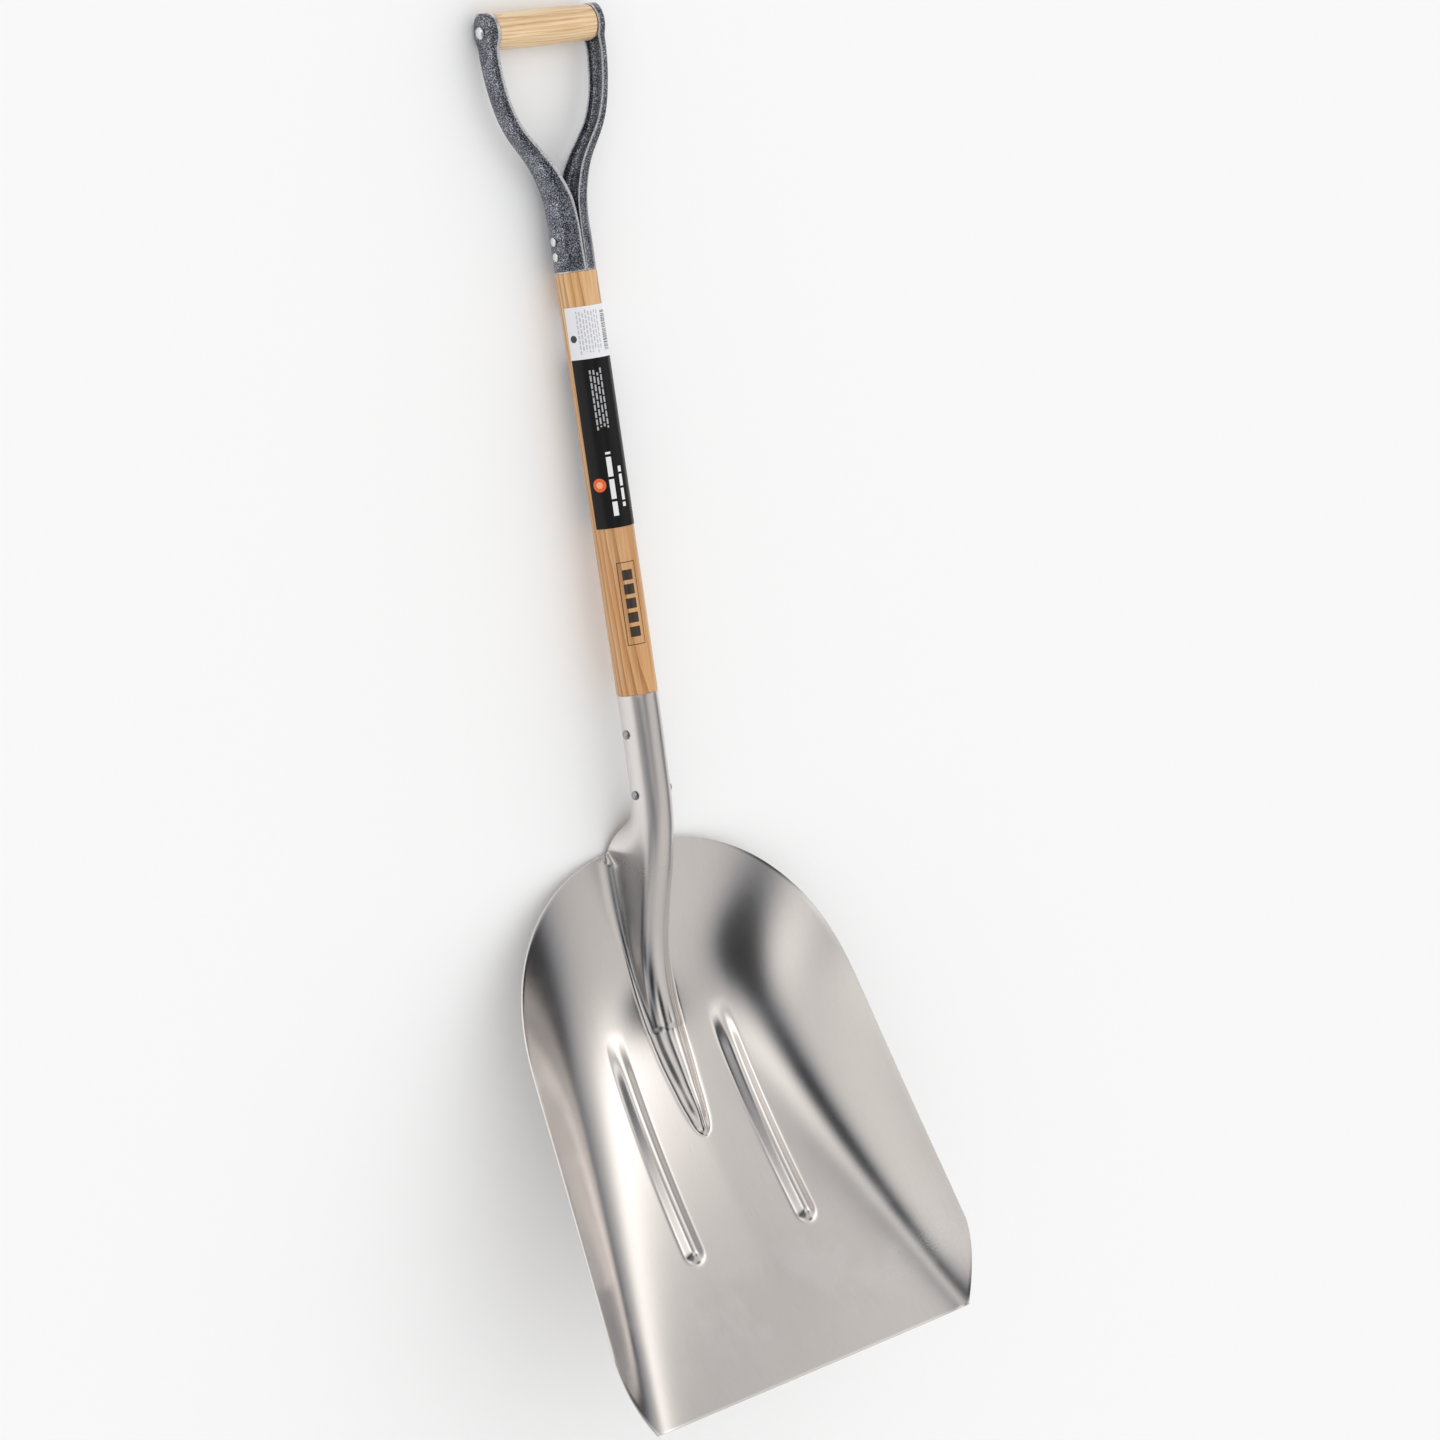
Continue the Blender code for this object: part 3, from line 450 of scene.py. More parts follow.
def shaft_rings():
    rings = []
    k = 24
    start = S_AT_Y(0.357)
    n = 15
    for i in range(n + 1):
        s = start + (FROG_LEN - 0.012 - start) * i / n
        p, t = crest(s)
        nrm = np.array([-t[1], t[0]])
        rad = float(frog_radius(p[0]))
        c = p - nrm * rad
        loose = GAP + 0.0006 * (1.0 - float(smooth((s - S_AT_Y(0.50)) / 0.05)))
        rw = rad - SHEET - loose - 0.0003
        # planed flush with the scoop's underside
        h = np.linspace(0.0, 0.05, 200)
        yy, zz = c[0] - nrm[0] * (h - rw), c[1] - nrm[1] * (h - rw)
        low = np.nonzero(zz < wall_z(np.full_like(yy, 0.026), yy) - SHEET + 0.0010)[0]
        cut_n = rw - h[low[0]] if len(low) and s < S_END_BOWL + 0.004 else -1.0
        ring = []
        for j in range(k):
            a = 2 * math.pi * j / k
            x, m = rw * math.sin(a), rw * math.cos(a)
            m = max(m, cut_n)
            ring.append(np.array([x, c[0] + nrm[0] * m, c[1] + nrm[1] * m]))
        rings.append(ring)
    rings.append(handle_ring(-0.0004, TENON_R, k))
    rings.append(handle_ring(GAP, TENON_R, k))
    rings.append(handle_ring(GAP, SHAFT_R - 0.0006, k))
    rings.append(handle_ring(GAP + 0.0006, SHAFT_R, k))
    rings.append(handle_ring(SHAFT_LEN * 0.5, SHAFT_R + 0.0001, k))
    rings.append(handle_ring(SHAFT_LEN - GAP - 0.0006, SHAFT_R, k))
    rings.append(handle_ring(SHAFT_LEN - GAP, SHAFT_R - 0.0006, k))
    rings.append(handle_ring(SHAFT_LEN - GAP, TENON_R - 0.0002, k))
    rings.append(handle_ring(SHAFT_LEN + TENON_TOP - 0.003, TENON_R - 0.0002, k))
    rings.append(handle_ring(SHAFT_LEN + TENON_TOP, TENON_R - 0.0032, k))
    return rings


# ------------------------------------------------- pressed steel halves of the D
ARM_PATH = [(0.0194, SHAFT_LEN), (0.0194, 0.435), (0.0194, 0.463), (0.0292, 0.4975),
            (0.0485, 0.5270), (0.0610, 0.5640), (0.0650, 0.6000), (0.0650, GRIP_S)]
ARM_AT, ARM_LEN = spline(ARM_PATH)

def arm_half_depth(s):
    k = np.array([0.3994, 0.437, 0.464, 0.482, 0.504, 0.528, 0.560, 0.600, 0.640])
    v = np.array([0.0194, 0.0192, 0.0182, 0.0165, 0.0140, 0.0125, 0.0120, 0.0125, 0.0125])
    body = float(np.interp(s, k, v))
    r2 = EYE_R ** 2 - (GRIP_S - s) ** 2
    eye = math.sqrt(r2) if r2 > 0.0 else 0.0
    w = 0.0018
    return 0.5 * (body + eye + math.sqrt((body - eye) ** 2 + w * w)) if s < GRIP_S else eye

def arm_reach(s):
    k = np.array([0.3994, 0.437, 0.464, 0.482, 0.504, 0.528, 0.560, 0.600, 0.613, 0.640])
    v = np.array([0.0188, 0.0182, 0.0160, 0.0128, 0.0100, 0.0088, 0.0078, 0.0080, 0.0100, 0.0100])
    return float(np.interp(s, k, v))

def arm_power(s):
    return 2.0 + 1.6 * float(smooth((s - 0.440) / 0.07))

def arm_section(path_u, s_extra, shrink, k):
    """Half-round to channel section of one arm, open towards the middle."""
    p = ARM_AT(path_u)[0]
    e = 0.0006
    t = ARM_AT(min(path_u + e, ARM_LEN))[0] - ARM_AT(max(path_u - e, 0.0))[0]
    t = t / np.linalg.norm(t)
    if s_extra > 0.0:
        t = np.array([0.0, 1.0])
    s = p[1] + s_extra
    inward = np.array([-t[1], t[0]])
    hd, fl, pw = arm_half_depth(s), arm_reach(s), arm_power(s)
    if s_extra > 0.0:
        r2 = (EYE_R - shrink) ** 2 - s_extra ** 2
        hd = math.sqrt(max(r2, 0.0)) + shrink
    pts = []
    for j in range(k + 1):
        a = -0.5 * math.pi + math.pi * j / k
        ca, sa = math.cos(a), math.sin(a)
        depth = (fl - shrink) * max(ca, 0.0) ** (2.0 / pw)
        n = (hd - shrink) * math.copysign(abs(sa) ** (2.0 / pw), sa)
        # distance in from the outer face
        w = fl - depth
        xy = p + inward * w + np.array([0.0, s_extra])
        pts.append((xy[0], xy[1], n))
    return pts

def arm_grid(shrink, k=12, rows=19, rows_eye=5):
    us = []
    grid = []
    for i in range(rows + 1):
        f = i / rows
        grid.append(arm_section(ARM_LEN * f, 0.0, shrink, k))
    top = EYE_R - shrink
    for i in range(1, rows_eye + 1):
        a = 0.5 * math.pi * i / rows_eye
        grid.append(arm_section(ARM_LEN, top * math.sin(a), shrink, k))
    return np.array(grid)


# --------------------------------------------------------------- mesh building
def link(ob):
    bpy.context.scene.collection.objects.link(ob)
    return ob

def finish_mesh(name, verts, faces, sharp=50.0, attrs=None):
    """A closed smooth mesh; attrs are named vectors stored on its points."""
    me = bpy.data.meshes.new(name)
    me.from_pydata([tuple(map(float, v)) for v in verts], [], faces)
    if attrs:
        for key, val in attrs.items():
            at = me.attributes.new(key, "FLOAT_VECTOR", "POINT")
            at.data.foreach_set("vector", np.asarray(val, np.float32).ravel())
    bm = bmesh.new()
    bm.from_mesh(me)
    bmesh.ops.remove_doubles(bm, verts=bm.verts, dist=2e-6)
    bmesh.ops.dissolve_degenerate(bm, edges=bm.edges, dist=1e-7)
    bmesh.ops.recalc_face_normals(bm, faces=bm.faces)
    if bm.calc_volume(signed=True) < 0:
        bmesh.ops.reverse_faces(bm, faces=bm.faces)
    bm.to_mesh(me)
    bm.free()
    me.shade_smooth()
    me.set_sharp_from_angle(angle=math.radians(sharp))
    ob = link(bpy.data.objects.new(name, me))
    w = ob.modifiers.new("even_normals", "WEIGHTED_NORMAL")
    w.mode = "FACE_AREA"
    w.keep_sharp = True
    w.weight = 50
    return ob

def shell(name, outer, inner, bulge, folded=False, steps=4, sharp=50.0, attrs=None):
    """A sheet as a closed solid with rounded cut edges; attrs: grids of vectors."""
    r, c = outer.shape[:2]
    verts = [*outer.reshape(-1, 3), *inner.reshape(-1, 3)]
    o = lambda i, j: i * c + j
    n = lambda i, j: r * c + i * c + j
    faces = []
    for i in range(r - 1):
        for j in range(c - 1):
            faces.append((o(i, j), o(i, j + 1), o(i + 1, j + 1), o(i + 1, j)))
            faces.append((n(i, j), n(i + 1, j), n(i + 1, j + 1), n(i, j + 1)))
    run = [(i, 0) for i in range(r - 1, 0, -1)] + [(0, j) for j in range(c - 1)] + [(i, c - 1) for i in range(r)]
    if not folded:
        run += [(r - 1, j) for j in range(c - 2, -1, -1)] + [(r - 1, 0)]
    ends = []
    extra = {k: [] for k in (attrs or {})}
    for i, j in run:
        out = np.zeros(3)
        if j == 0:
            out += unit(outer[i, 0] - outer[i, 1])
        if j == c - 1:
            out += unit(outer[i, c - 1] - outer[i, c - 2])
        if i == 0:
            out += unit(outer[0, j] - outer[1, j])
        if i == r - 1 and not folded:
            out += unit(outer[r - 1, j] - outer[r - 2, j])
        a, b = outer[i, j], inner[i, j]
        mid, half = 0.5 * (a + b), 0.5 * (a - b)
        nn = unit(half)
        out = unit(out - nn * out.dot(nn))
        ids = [o(i, j)]
        for k in range(1, steps):
            t = math.pi * k / steps
            ids.append(len(verts))
            verts.append(mid + half * math.cos(t) + out * bulge * math.sin(t))
            for key in extra:
                extra[key].append(attrs[key][i, j])
        ids.append(n(i, j))
        ends.append(ids)
    for p, q in zip(ends[:-1], ends[1:]):
        for k in range(steps):
            faces.append((p[k], q[k], q[k + 1], p[k + 1]))
    full = None
    if attrs:
        full = {}
        for key, grid in attrs.items():
            g = np.asarray(grid).reshape(-1, 3)
            full[key] = np.concatenate([g, g, np.array(extra[key]).reshape(-1, 3)])
    return finish_mesh(name, laid(np.array(verts)), faces, sharp, full)

def unit(v):
    return v / max(float(np.linalg.norm(v)), 1e-12)

def lathe_rings(name, rings, sharp=35.0, attrs=None):
    k = len(rings[0])
    verts = np.array([v for ring in rings for v in ring])
    faces = []
    for i in range(len(rings) - 1):
        for j in range(k):
            faces.append((i * k + j, i * k + (j + 1) % k, (i + 1) * k + (j + 1) % k, (i + 1) * k + j))
    faces.append(tuple(range(k)))
    faces.append(tuple((len(rings) - 1) * k + j for j in range(k)))
    return finish_mesh(name, laid(verts), faces, sharp, attrs)

def grain_at(pts):
    """Coordinates along and across the handle: (x, along, up)."""
    p = np.asarray(pts, float)
    rel = p[..., 1:] - MOUTH
    return np.stack([p[..., 0], rel @ AX, rel @ AN], axis=-1)

def turned(name, centre, profile_pts, k=64, sharp=35.0, grain=False):
    """Turned along X through centre; profile is (x, radius), closed at the ends."""
    c = np.array(centre)
    d1 = np.array([0.0, AX[0], AX[1]])
    d2 = np.array([0.0, AN[0], AN[1]])
    rings = []
    for x, r in profile_pts:
        rings.append([c + np.array([x, 0.0, 0.0]) + r * (math.cos(2 * math.pi * j / k) * d1 + math.sin(2 * math.pi * j / k) * d2) for j in range(k)])
    at = None
    if grain:
        at = {"grain": np.array([[(p[1:] - c[1:]) @ AX, p[0], (p[1:] - c[1:]) @ AN] for ring in rings for p in ring])}
    return lathe_rings(name, rings, sharp, at)

# ------------------------------------------------------------------- materials
class Nodes:
    """Short hand for building a material's node tree."""
    def __init__(self, name):
        self.mat = bpy.data.materials.new(name)
        self.mat.use_nodes = True
        self.tree = self.mat.node_tree
        self.bsdf = self.tree.nodes["Principled BSDF"]

    def add(self, kind, **props):
        n = self.tree.nodes.new(kind)
        for k, v in props.items():
            setattr(n, k, v)
        return n

    def link(self, a, b):
        self.tree.links.new(a, b)

    def coords(self, attribute=None, scale=(1, 1, 1), rot=(0, 0, 0), loc=(0, 0, 0)):
        if attribute:
            src = self.add("ShaderNodeAttribute", attribute_name=attribute).outputs["Vector"]
        else:
            src = self.add("ShaderNodeTexCoord").outputs["Object"]
        m = self.add("ShaderNodeMapping")
        m.inputs["Scale"].default_value = scale
        m.inputs["Rotation"].default_value = rot
        m.inputs["Location"].default_value = loc
        self.link(src, m.inputs["Vector"])
        return m.outputs["Vector"]

    def noise(self, vec, scale, detail=4.0, rough=0.5, distort=0.0, out="Fac"):
        n = self.add("ShaderNodeTexNoise")
        n.inputs["Scale"].default_value = scale
        n.inputs["Detail"].default_value = detail
        n.inputs["Roughness"].default_value = rough
        n.inputs["Distortion"].default_value = distort
        self.link(vec, n.inputs["Vector"])
        return n.outputs[out]

    def ramp(self, fac, stops, interp="LINEAR"):
        n = self.add("ShaderNodeValToRGB")
        n.color_ramp.interpolation = interp
        e = n.color_ramp.elements
        while len(e) < len(stops):
            e.new(0.5)
        for el, (p, c) in zip(e, stops):
            el.position = p
            el.color = (*c, 1.0) if len(c) == 3 else c
        self.link(fac, n.inputs["Fac"])
        return n.outputs["Color"]

    def remap(self, fac, a, b, lo, hi, clamp=True):
        n = self.add("ShaderNodeMapRange", clamp=clamp)
        n.inputs["From Min"].default_value = a
        n.inputs["From Max"].default_value = b
        n.inputs["To Min"].default_value = lo
        n.inputs["To Max"].default_value = hi
        self.link(fac, n.inputs["Value"])
        return n.outputs["Result"]

    def math(self, op, a, b=None, clamp=False):
        n = self.add("ShaderNodeMath", operation=op, use_clamp=clamp)
        for k, v in enumerate((a, b)):
            if v is None:
                continue
            if isinstance(v, (int, float)):
                n.inputs[k].default_value = v
            else:
                self.link(v, n.inputs[k])
        return n.outputs[0]

    def mix(self, fac, a, b, kind="MIX"):
        n = self.add("ShaderNodeMix", data_type="RGBA", blend_type=kind)
        for sock, v in ((n.inputs[0], fac), (n.inputs[6], a), (n.inputs[7], b)):
            if isinstance(v, (int, float)):
                sock.default_value = v
            elif isinstance(v, tuple):
                sock.default_value = (*v, 1.0)
            else:
                self.link(v, sock)
        return n.outputs[2]

    def near(self, v, c, half):
        """1 where v is within half of c."""
        n = self.add("ShaderNodeMath", operation="COMPARE")
        self.link(v, n.inputs[0])
        n.inputs[1].default_value = c
        n.inputs[2].default_value = half
        return n.outputs[0]

    def both(self, *masks):
        out = masks[0]
        for m in masks[1:]:
            out = self.math("MULTIPLY", out, m)
        return out

    def any_of(self, *masks):
        out = masks[0]
        for m in masks[1:]:
            out = self.math("MAXIMUM", out, m)
        return out

    def split(self, vec):
        n = self.add("ShaderNodeSeparateXYZ")
        self.link(vec, n.inputs[0])
        return n.outputs

    def join(self, x, y, z):
        n = self.add("ShaderNodeCombineXYZ")
        for k, v in enumerate((x, y, z)):
            if isinstance(v, (int, float)):
                n.inputs[k].default_value = v
            else:
                self.link(v, n.inputs[k])
        return n.outputs[0]

    def bump(self, height, strength, distance, normal=None):
        n = self.add("ShaderNodeBump")
        n.inputs["Strength"].default_value = strength
        n.inputs["Distance"].default_value = distance
        self.link(height, n.inputs["Height"])
        if normal is not None:
            self.link(normal, n.inputs["Normal"])
        return n.outputs["Normal"]

def aluminium_material():
    m = Nodes("satin_aluminium")
    b = m.bsdf
    b.inputs["Metallic"].default_value = 1.0
    # rolled sheet: fine drawn lines along the scoop, soft clouds, light scuffs
    fine = m.noise(m.coords("sheet", (900, 40, 1)), 1.0, 3.0, 0.6)
    cloud = m.noise(m.coords(None, (1, 1, 1)), 9.0, 4.0, 0.55)
    speck = m.noise(m.coords(None, (1, 1, 1)), 420.0, 2.0, 0.6)
    col = m.ramp(m.math("ADD", m.math("MULTIPLY", fine, 0.35), m.math("MULTIPLY", cloud, 0.65)),
                 [(0.30, (0.750, 0.712, 0.690)), (0.70, (0.815, 0.780, 0.760))])
    rough = m.math("ADD", m.remap(cloud, 0.3, 0.7, 0.145, 0.175), m.remap(speck, 0.3, 0.75, 0.0, 0.02))
    # the rolled socket keeps more of its mill finish
    place = m.split(m.add("ShaderNodeAttribute", attribute_name="sheet").outputs["Vector"])
    rough = m.math("ADD", rough, m.remap(place[1], 0.44, 0.58, 0.0, 0.17))
    # faint pale scuffs on the floor near the lip
    patch = m.noise(m.coords("sheet", (1, 1, 0), loc=(0.31, 0.12, 0)), 13.0, 3.0, 0.6)
    dash = m.noise(m.coords("sheet", (1, 0.7, 0)), 1500.0, 2.0, 0.6)
    near_lip = m.both(m.remap(place[1], 0.02, 0.05, 0.0, 1.0), m.remap(place[1], 0.10, 0.16, 1.0, 0.0))
    scuff = m.both(near_lip, m.remap(patch, 0.46, 0.60, 0.0, 1.0), m.remap(dash, 0.46, 0.60, 0.0, 1.0))
    col = m.mix(m.math("MULTIPLY", scuff, 0.42), col, (0.97, 0.96, 0.95))
    rough = m.math("ADD", rough, m.math("MULTIPLY", scuff, 0.10))
    m.link(col, b.inputs["Base Color"])
    m.link(rough, b.inputs["Roughness"])
    n1 = m.bump(fine, 0.04, 0.0003)
    n2 = m.bump(speck, 0.02, 0.0003, n1)
    m.link(n2, b.inputs["Normal"])
    return m.mat

def paint_material():
    """Hammered grey enamel: dark ground with pale metallic flecks."""
    m = Nodes("hammertone_charcoal")
    b = m.bsdf
    vec = m.coords(None, (1, 1, 1))
    cell = m.noise(vec, 780.0, 2.0, 0.55)
    fleck = m.noise(vec, 1500.0, 2.0, 0.6)
    wide = m.noise(vec, 60.0, 3.0, 0.5)
    f = m.math("ADD", m.math("MULTIPLY", cell, 0.62), m.math("MULTIPLY", fleck, 0.38))
    f = m.math("ADD", f, m.remap(wide, 0.3, 0.7, -0.03, 0.03))
    col = m.ramp(f, [(0.42, (0.018, 0.020, 0.027)), (0.50, (0.085, 0.092, 0.115)), (0.56, (0.29, 0.305, 0.36)), (0.64, (0.72, 0.74, 0.81))])
    # painted highlight: the cut edge is made pale and metallic, partly worn paint and partly a painted bright line of
    # light along it
    rim = m.split(m.add("ShaderNodeAttribute", attribute_name="rim").outputs["Vector"])[0]
    worn_edge_and_highlight = m.both(m.remap(rim, 0.35, 0.95, 0.0, 1.0), m.remap(cell, 0.35, 0.50, 0.45, 1.0))
    col = m.mix(worn_edge_and_highlight, col, (0.78, 0.79, 0.82))
    m.link(col, b.inputs["Base Color"])
    m.link(m.math("MAXIMUM", m.remap(f, 0.40, 0.65, 0.62, 0.95), worn_edge_and_highlight), b.inputs["Metallic"])
    m.link(m.remap(f, 0.3, 0.7, 0.27, 0.40), b.inputs["Roughness"])
    m.link(m.bump(f, 0.45, 0.0005), b.inputs["Normal"])
    b.inputs["Coat Weight"].default_value = 0.5
    b.inputs["Coat Roughness"].default_value = 0.10
    return m.mat

def wood_material(name, seed, heart, tilt, ring, plain, pale, mid, late, orange, stamp_and_collar_shade=False):
    """Ash, sawn a little off the run of its growth rings, so that they come out
    as long streaks and pointed arches.  Grain coordinates are (across, along, up)."""
    m = Nodes(name)
    b = m.bsdf
    raw = m.add("ShaderNodeAttribute", attribute_name="grain").outputs["Vector"]
    tip = m.add("ShaderNodeMapping")
    tip.inputs["Location"].default_value = (heart[0], seed, heart[1])
    tip.inputs["Rotation"].default_value = (tilt[0], 0.0, tilt[1])
    m.link(raw, tip.inputs["Vector"])
    slow = m.add("ShaderNodeMapping")
    slow.inputs["Scale"].default_value = (1.0, 0.10, 1.0)
    m.link(tip.outputs["Vector"], slow.inputs["Vector"])
    vec = slow.outputs["Vector"]
    # the trunk's own waviness bends the rings
    sway = m.noise(m.coords("grain", (1, 0.16, 1), loc=(seed * 3, seed, 0)), 34.0, 2.0, 0.5, out="Color")
    bend = m.add("ShaderNodeVectorMath", operation="MULTIPLY_ADD")
    m.link(sway, bend.inputs[0])
    bend.inputs[1].default_value = (0.010, 0.0, 0.010)
    m.link(vec, bend.inputs[2])
    w = m.add("ShaderNodeTexWave", wave_type="RINGS", rings_direction="Y", wave_profile="SAW")
    w.inputs["Scale"].default_value = 0.314 / ring
    w.inputs["Distortion"].default_value = 0.9
    w.inputs["Detail"].default_value = 3.0
    w.inputs["Detail Scale"].default_value = 2.0
    m.link(bend.outputs["Vector"], w.inputs["Vector"])
    fibre = m.noise(m.coords("grain", (1, 0.018, 1), loc=(seed, 0, 0)), 1500.0, 3.0, 0.65)
    pore = m.noise(m.coords("grain", (1, 0.035, 1), loc=(seed * 5, 0, 0)), 2300.0, 2.0, 0.6)
    broad = m.noise(m.coords("grain", (1, 0.12, 1), loc=(seed * 7, 0, 0)), 38.0, 2.0, 0.5)
    f = m.math("ADD", m.math("MULTIPLY", w.outputs["Fac"], plain), m.math("MULTIPLY", fibre, 1.0 - plain))
    col = m.ramp(f, [(0.16, pale), (0.50, mid), (0.78, late), (0.92, mid)])
    part = m.split(raw)
    rise = m.remap(part[1], 0.10, 0.40, 0.70, 0.36)
    warm = m.math("ADD", m.remap(broad, 0.40, 0.66, 0.0, 0.45), rise)
    col = m.mix(warm, col, orange, "MULTIPLY")
    col = m.mix(m.remap(part[1], 0.12, 0.36, 1.0, 0.0), col, (0.90, 0.87, 0.88), "MULTIPLY")
    streak = m.noise(m.coords("grain", (1, 0.022, 1), loc=(seed * 9, 0, 0)), 520.0, 3.0, 0.6)
    col = m.mix(m.remap(streak, 0.42, 0.62, 0.0, 0.62), col, (0.78, 0.63, 0.46), "MULTIPLY")
    col = m.mix(m.both(m.remap(pore, 0.56, 0.66, 0.0, 0.45), m.remap(w.outputs["Fac"], 0.35, 0.8, 0.25, 1.0)), col, late)
    rough = m.remap(fibre, 0.35, 0.7, 0.36, 0.48)
    if stamp_and_collar_shade:
        # painted shade: the wood is made nearly black where it goes into the collar, where shade falls inside
        col = m.mix(m.remap(part[1], SHAFT_LEN - 0.0005, SHAFT_LEN + 0.0005, 0.0, 0.97), col, (0.010, 0.009, 0.008))
        # a plain burnt-in frame with a row of blocks
        turn = m.math("MULTIPLY", m.math("ARCTAN2", part[0], part[2]), 180.0 / math.pi)
        s = part[1]
        inside = m.both(m.near(turn, -14.0, 27.0), m.near(s, 0.0875, 0.0395))
        core = m.both(m.near(turn, -14.0, 24.6), m.near(s, 0.0875, 0.0387))
        frame_line = m.math("SUBTRACT", inside, core)
        cellpos = m.math("FRACT", m.math("DIVIDE", m.math("SUBTRACT", s, 0.0545), 0.0135))
        blocks = m.both(m.near(cellpos, 0.45, 0.36), m.near(s, 0.0880, 0.0330), m.near(turn, -14.0, 15.0))
        ink = m.any_of(frame_line, blocks)
        worn = m.remap(fibre, 0.30, 0.62, 1.0, 0.92)
        col = m.mix(m.both(ink, worn), col, (0.012, 0.010, 0.009))
    m.link(col, b.inputs["Base Color"])
    m.link(rough, b.inputs["Roughness"])
    m.link(m.bump(m.math("ADD", fibre, m.math("MULTIPLY", w.outputs["Fac"], 0.3)), 0.10, 0.0003), b.inputs["Normal"])
    b.inputs["Coat Weight"].default_value = 0.30
    b.inputs["Coat Roughness"].default_value = 0.25
    return m.mat

def rivet_material(name, lo, hi, rough):
    m = Nodes(name)
    b = m.bsdf
    b.inputs["Metallic"].default_value = 1.0
    n = m.noise(m.coords(None), 500.0, 3.0, 0.6)
    m.link(m.ramp(n, [(0.3, lo), (0.7, hi)]), b.inputs["Base Color"])
    m.link(m.remap(n, 0.3, 0.7, rough, rough + 0.12), b.inputs["Roughness"])
    m.link(m.bump(n, 0.15, 0.0003), b.inputs["Normal"])
    return m.mat

def label_material():
    """Printed film: coordinates are (angle round the shaft in degrees, along, 0).
    Only plain bars, blocks and dots, no words."""
    m = Nodes("label_film")
    b = m.bsdf
    a = m.add("ShaderNodeAttribute", attribute_name="film")
    ang, along, _ = m.split(a.outputs["Vector"])
    arc = m.math("MULTIPLY", ang, math.radians(1.0) * 0.0203)
    flat = m.join(arc, along, 0.0)
    white = m.math("GREATER_THAN", along, LABEL_SPLIT)
    dark = m.math("LESS_THAN", along, LABEL_SPLIT)
    paper = m.noise(flat, 900.0, 3.0, 0.6)
    base = m.mix(white, (0.005, 0.005, 0.006), (0.80, 0.80, 0.83))
    col = m.mix(m.remap(paper, 0.3, 0.7, 0.0, 0.02), base, (0.30, 0.30, 0.31))

    def rows(first, step, count, half, mid, reach, pitch, duty, offset):
        """Rows of short bars that run along the shaft."""
        out = None
        for k in range(count):
            c = first + step * k
            u = m.math("FRACT", m.math("DIVIDE", m.math("ADD", along, offset * (k + 1)), pitch * (1.0 + 0.13 * (k % 3))))
            row = m.both(m.near(ang, c, half), m.near(along, mid + 0.0012 * (k % 2), reach * (1.0 - 0.05 * (k % 3))), m.near(u, 0.5, duty))
            out = row if out is None else m.any_of(out, row)
        return out

    # small print, then two lines of large blocks, on the black part
    small = rows(-36.0, 9.5, 4, 2.3, 0.2800, 0.0280, 0.0068, 0.40, 0.0023)
    large = m.any_of(rows(-20.0, 0.0, 1, 7.0, 0.2010, 0.0300, 0.0210, 0.44, 0.0034), rows(8.0, 0.0, 1, 5.0, 0.1975, 0.0190, 0.0132, 0.42, 0.0012))
    col = m.mix(m.both(small, dark), col, (0.42, 0.42, 0.43))
    col = m.mix(m.both(large, dark), col, (0.78, 0.78, 0.78))

    def dot(c, s, r):
        d = m.add("ShaderNodeVectorMath", operation="DISTANCE")
        m.link(flat, d.inputs[0])
        d.inputs[1].default_value = (math.radians(c) * 0.0203, s, 0.0)
        return m.math("LESS_THAN", d.outputs["Value"], r)

    col = m.mix(dot(-54.0, 0.2010, 0.0064), col, (0.80, 0.13, 0.045))
    col = m.mix(dot(-54.0, 0.2010, 0.0031), col, (0.85, 0.42, 0.22))
    # pale print, a dot and a block of bars on the white part
    pale = rows(-50.0, 8.0, 8, 1.9, 0.3430, 0.0200, 0.0047, 0.38, 0.0017)
    col = m.mix(m.both(pale, white), col, (0.50, 0.50, 0.53))
    col = m.mix(dot(-67.0, 0.3380, 0.0034), col, (0.06, 0.06, 0.07))
    bars = m.noise(m.join(0.0, along, 0.0), 1500.0, 1.0, 0.5)
    code = m.both(m.near(ang, 32.0, 13.0), m.near(along, 0.3430, 0.0185), m.math("GREATER_THAN", bars, 0.50))
    col = m.mix(code, col, (0.05, 0.05, 0.055))
    m.link(col, b.inputs["Base Color"])
    m.link(m.bump(m.noise(flat, 120.0, 3.0, 0.5), 0.10, 0.0006), b.inputs["Normal"])
    b.inputs["Roughness"].default_value = 0.36
    b.inputs["Specular IOR Level"].default_value = 0.20
    b.inputs["Coat Weight"].default_value = 0.06
    b.inputs["Coat Roughness"].default_value = 0.15
    return m.mat

LABEL_SPLIT = 0.3186

ALU = aluminium_material()
PAINT = paint_material()
WOOD = wood_material("ash_shaft", 0.13, (0.012, 0.030), (0.040, 0.018), 0.0058, 0.58,
                     (0.80, 0.60, 0.375), (0.73, 0.505, 0.285), (0.50, 0.285, 0.125), (0.96, 0.76, 0.52), stamp_and_collar_shade=True)
GRIP_WOOD = wood_material("ash_grip", 0.71, (0.060, 0.020), (0.010, 0.012), 0.0034, 0.34,
                          (0.97, 0.86, 0.63), (0.93, 0.76, 0.50), (0.64, 0.42, 0.21), (0.99, 0.92, 0.82))
BRIGHT = rivet_material("bright_rivet", (0.70, 0.71, 0.73), (0.86, 0.87, 0.89), 0.16)
DULL = rivet_material("dull_rivet", (0.30, 0.30, 0.31), (0.50, 0.50, 0.52), 0.30)
LABEL = label_material()

def dress(ob, mat, slot, *nodes):
    ob.data.materials.append(mat)
    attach(ob, "root")
    if nodes:
        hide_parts(*nodes)
    return ob

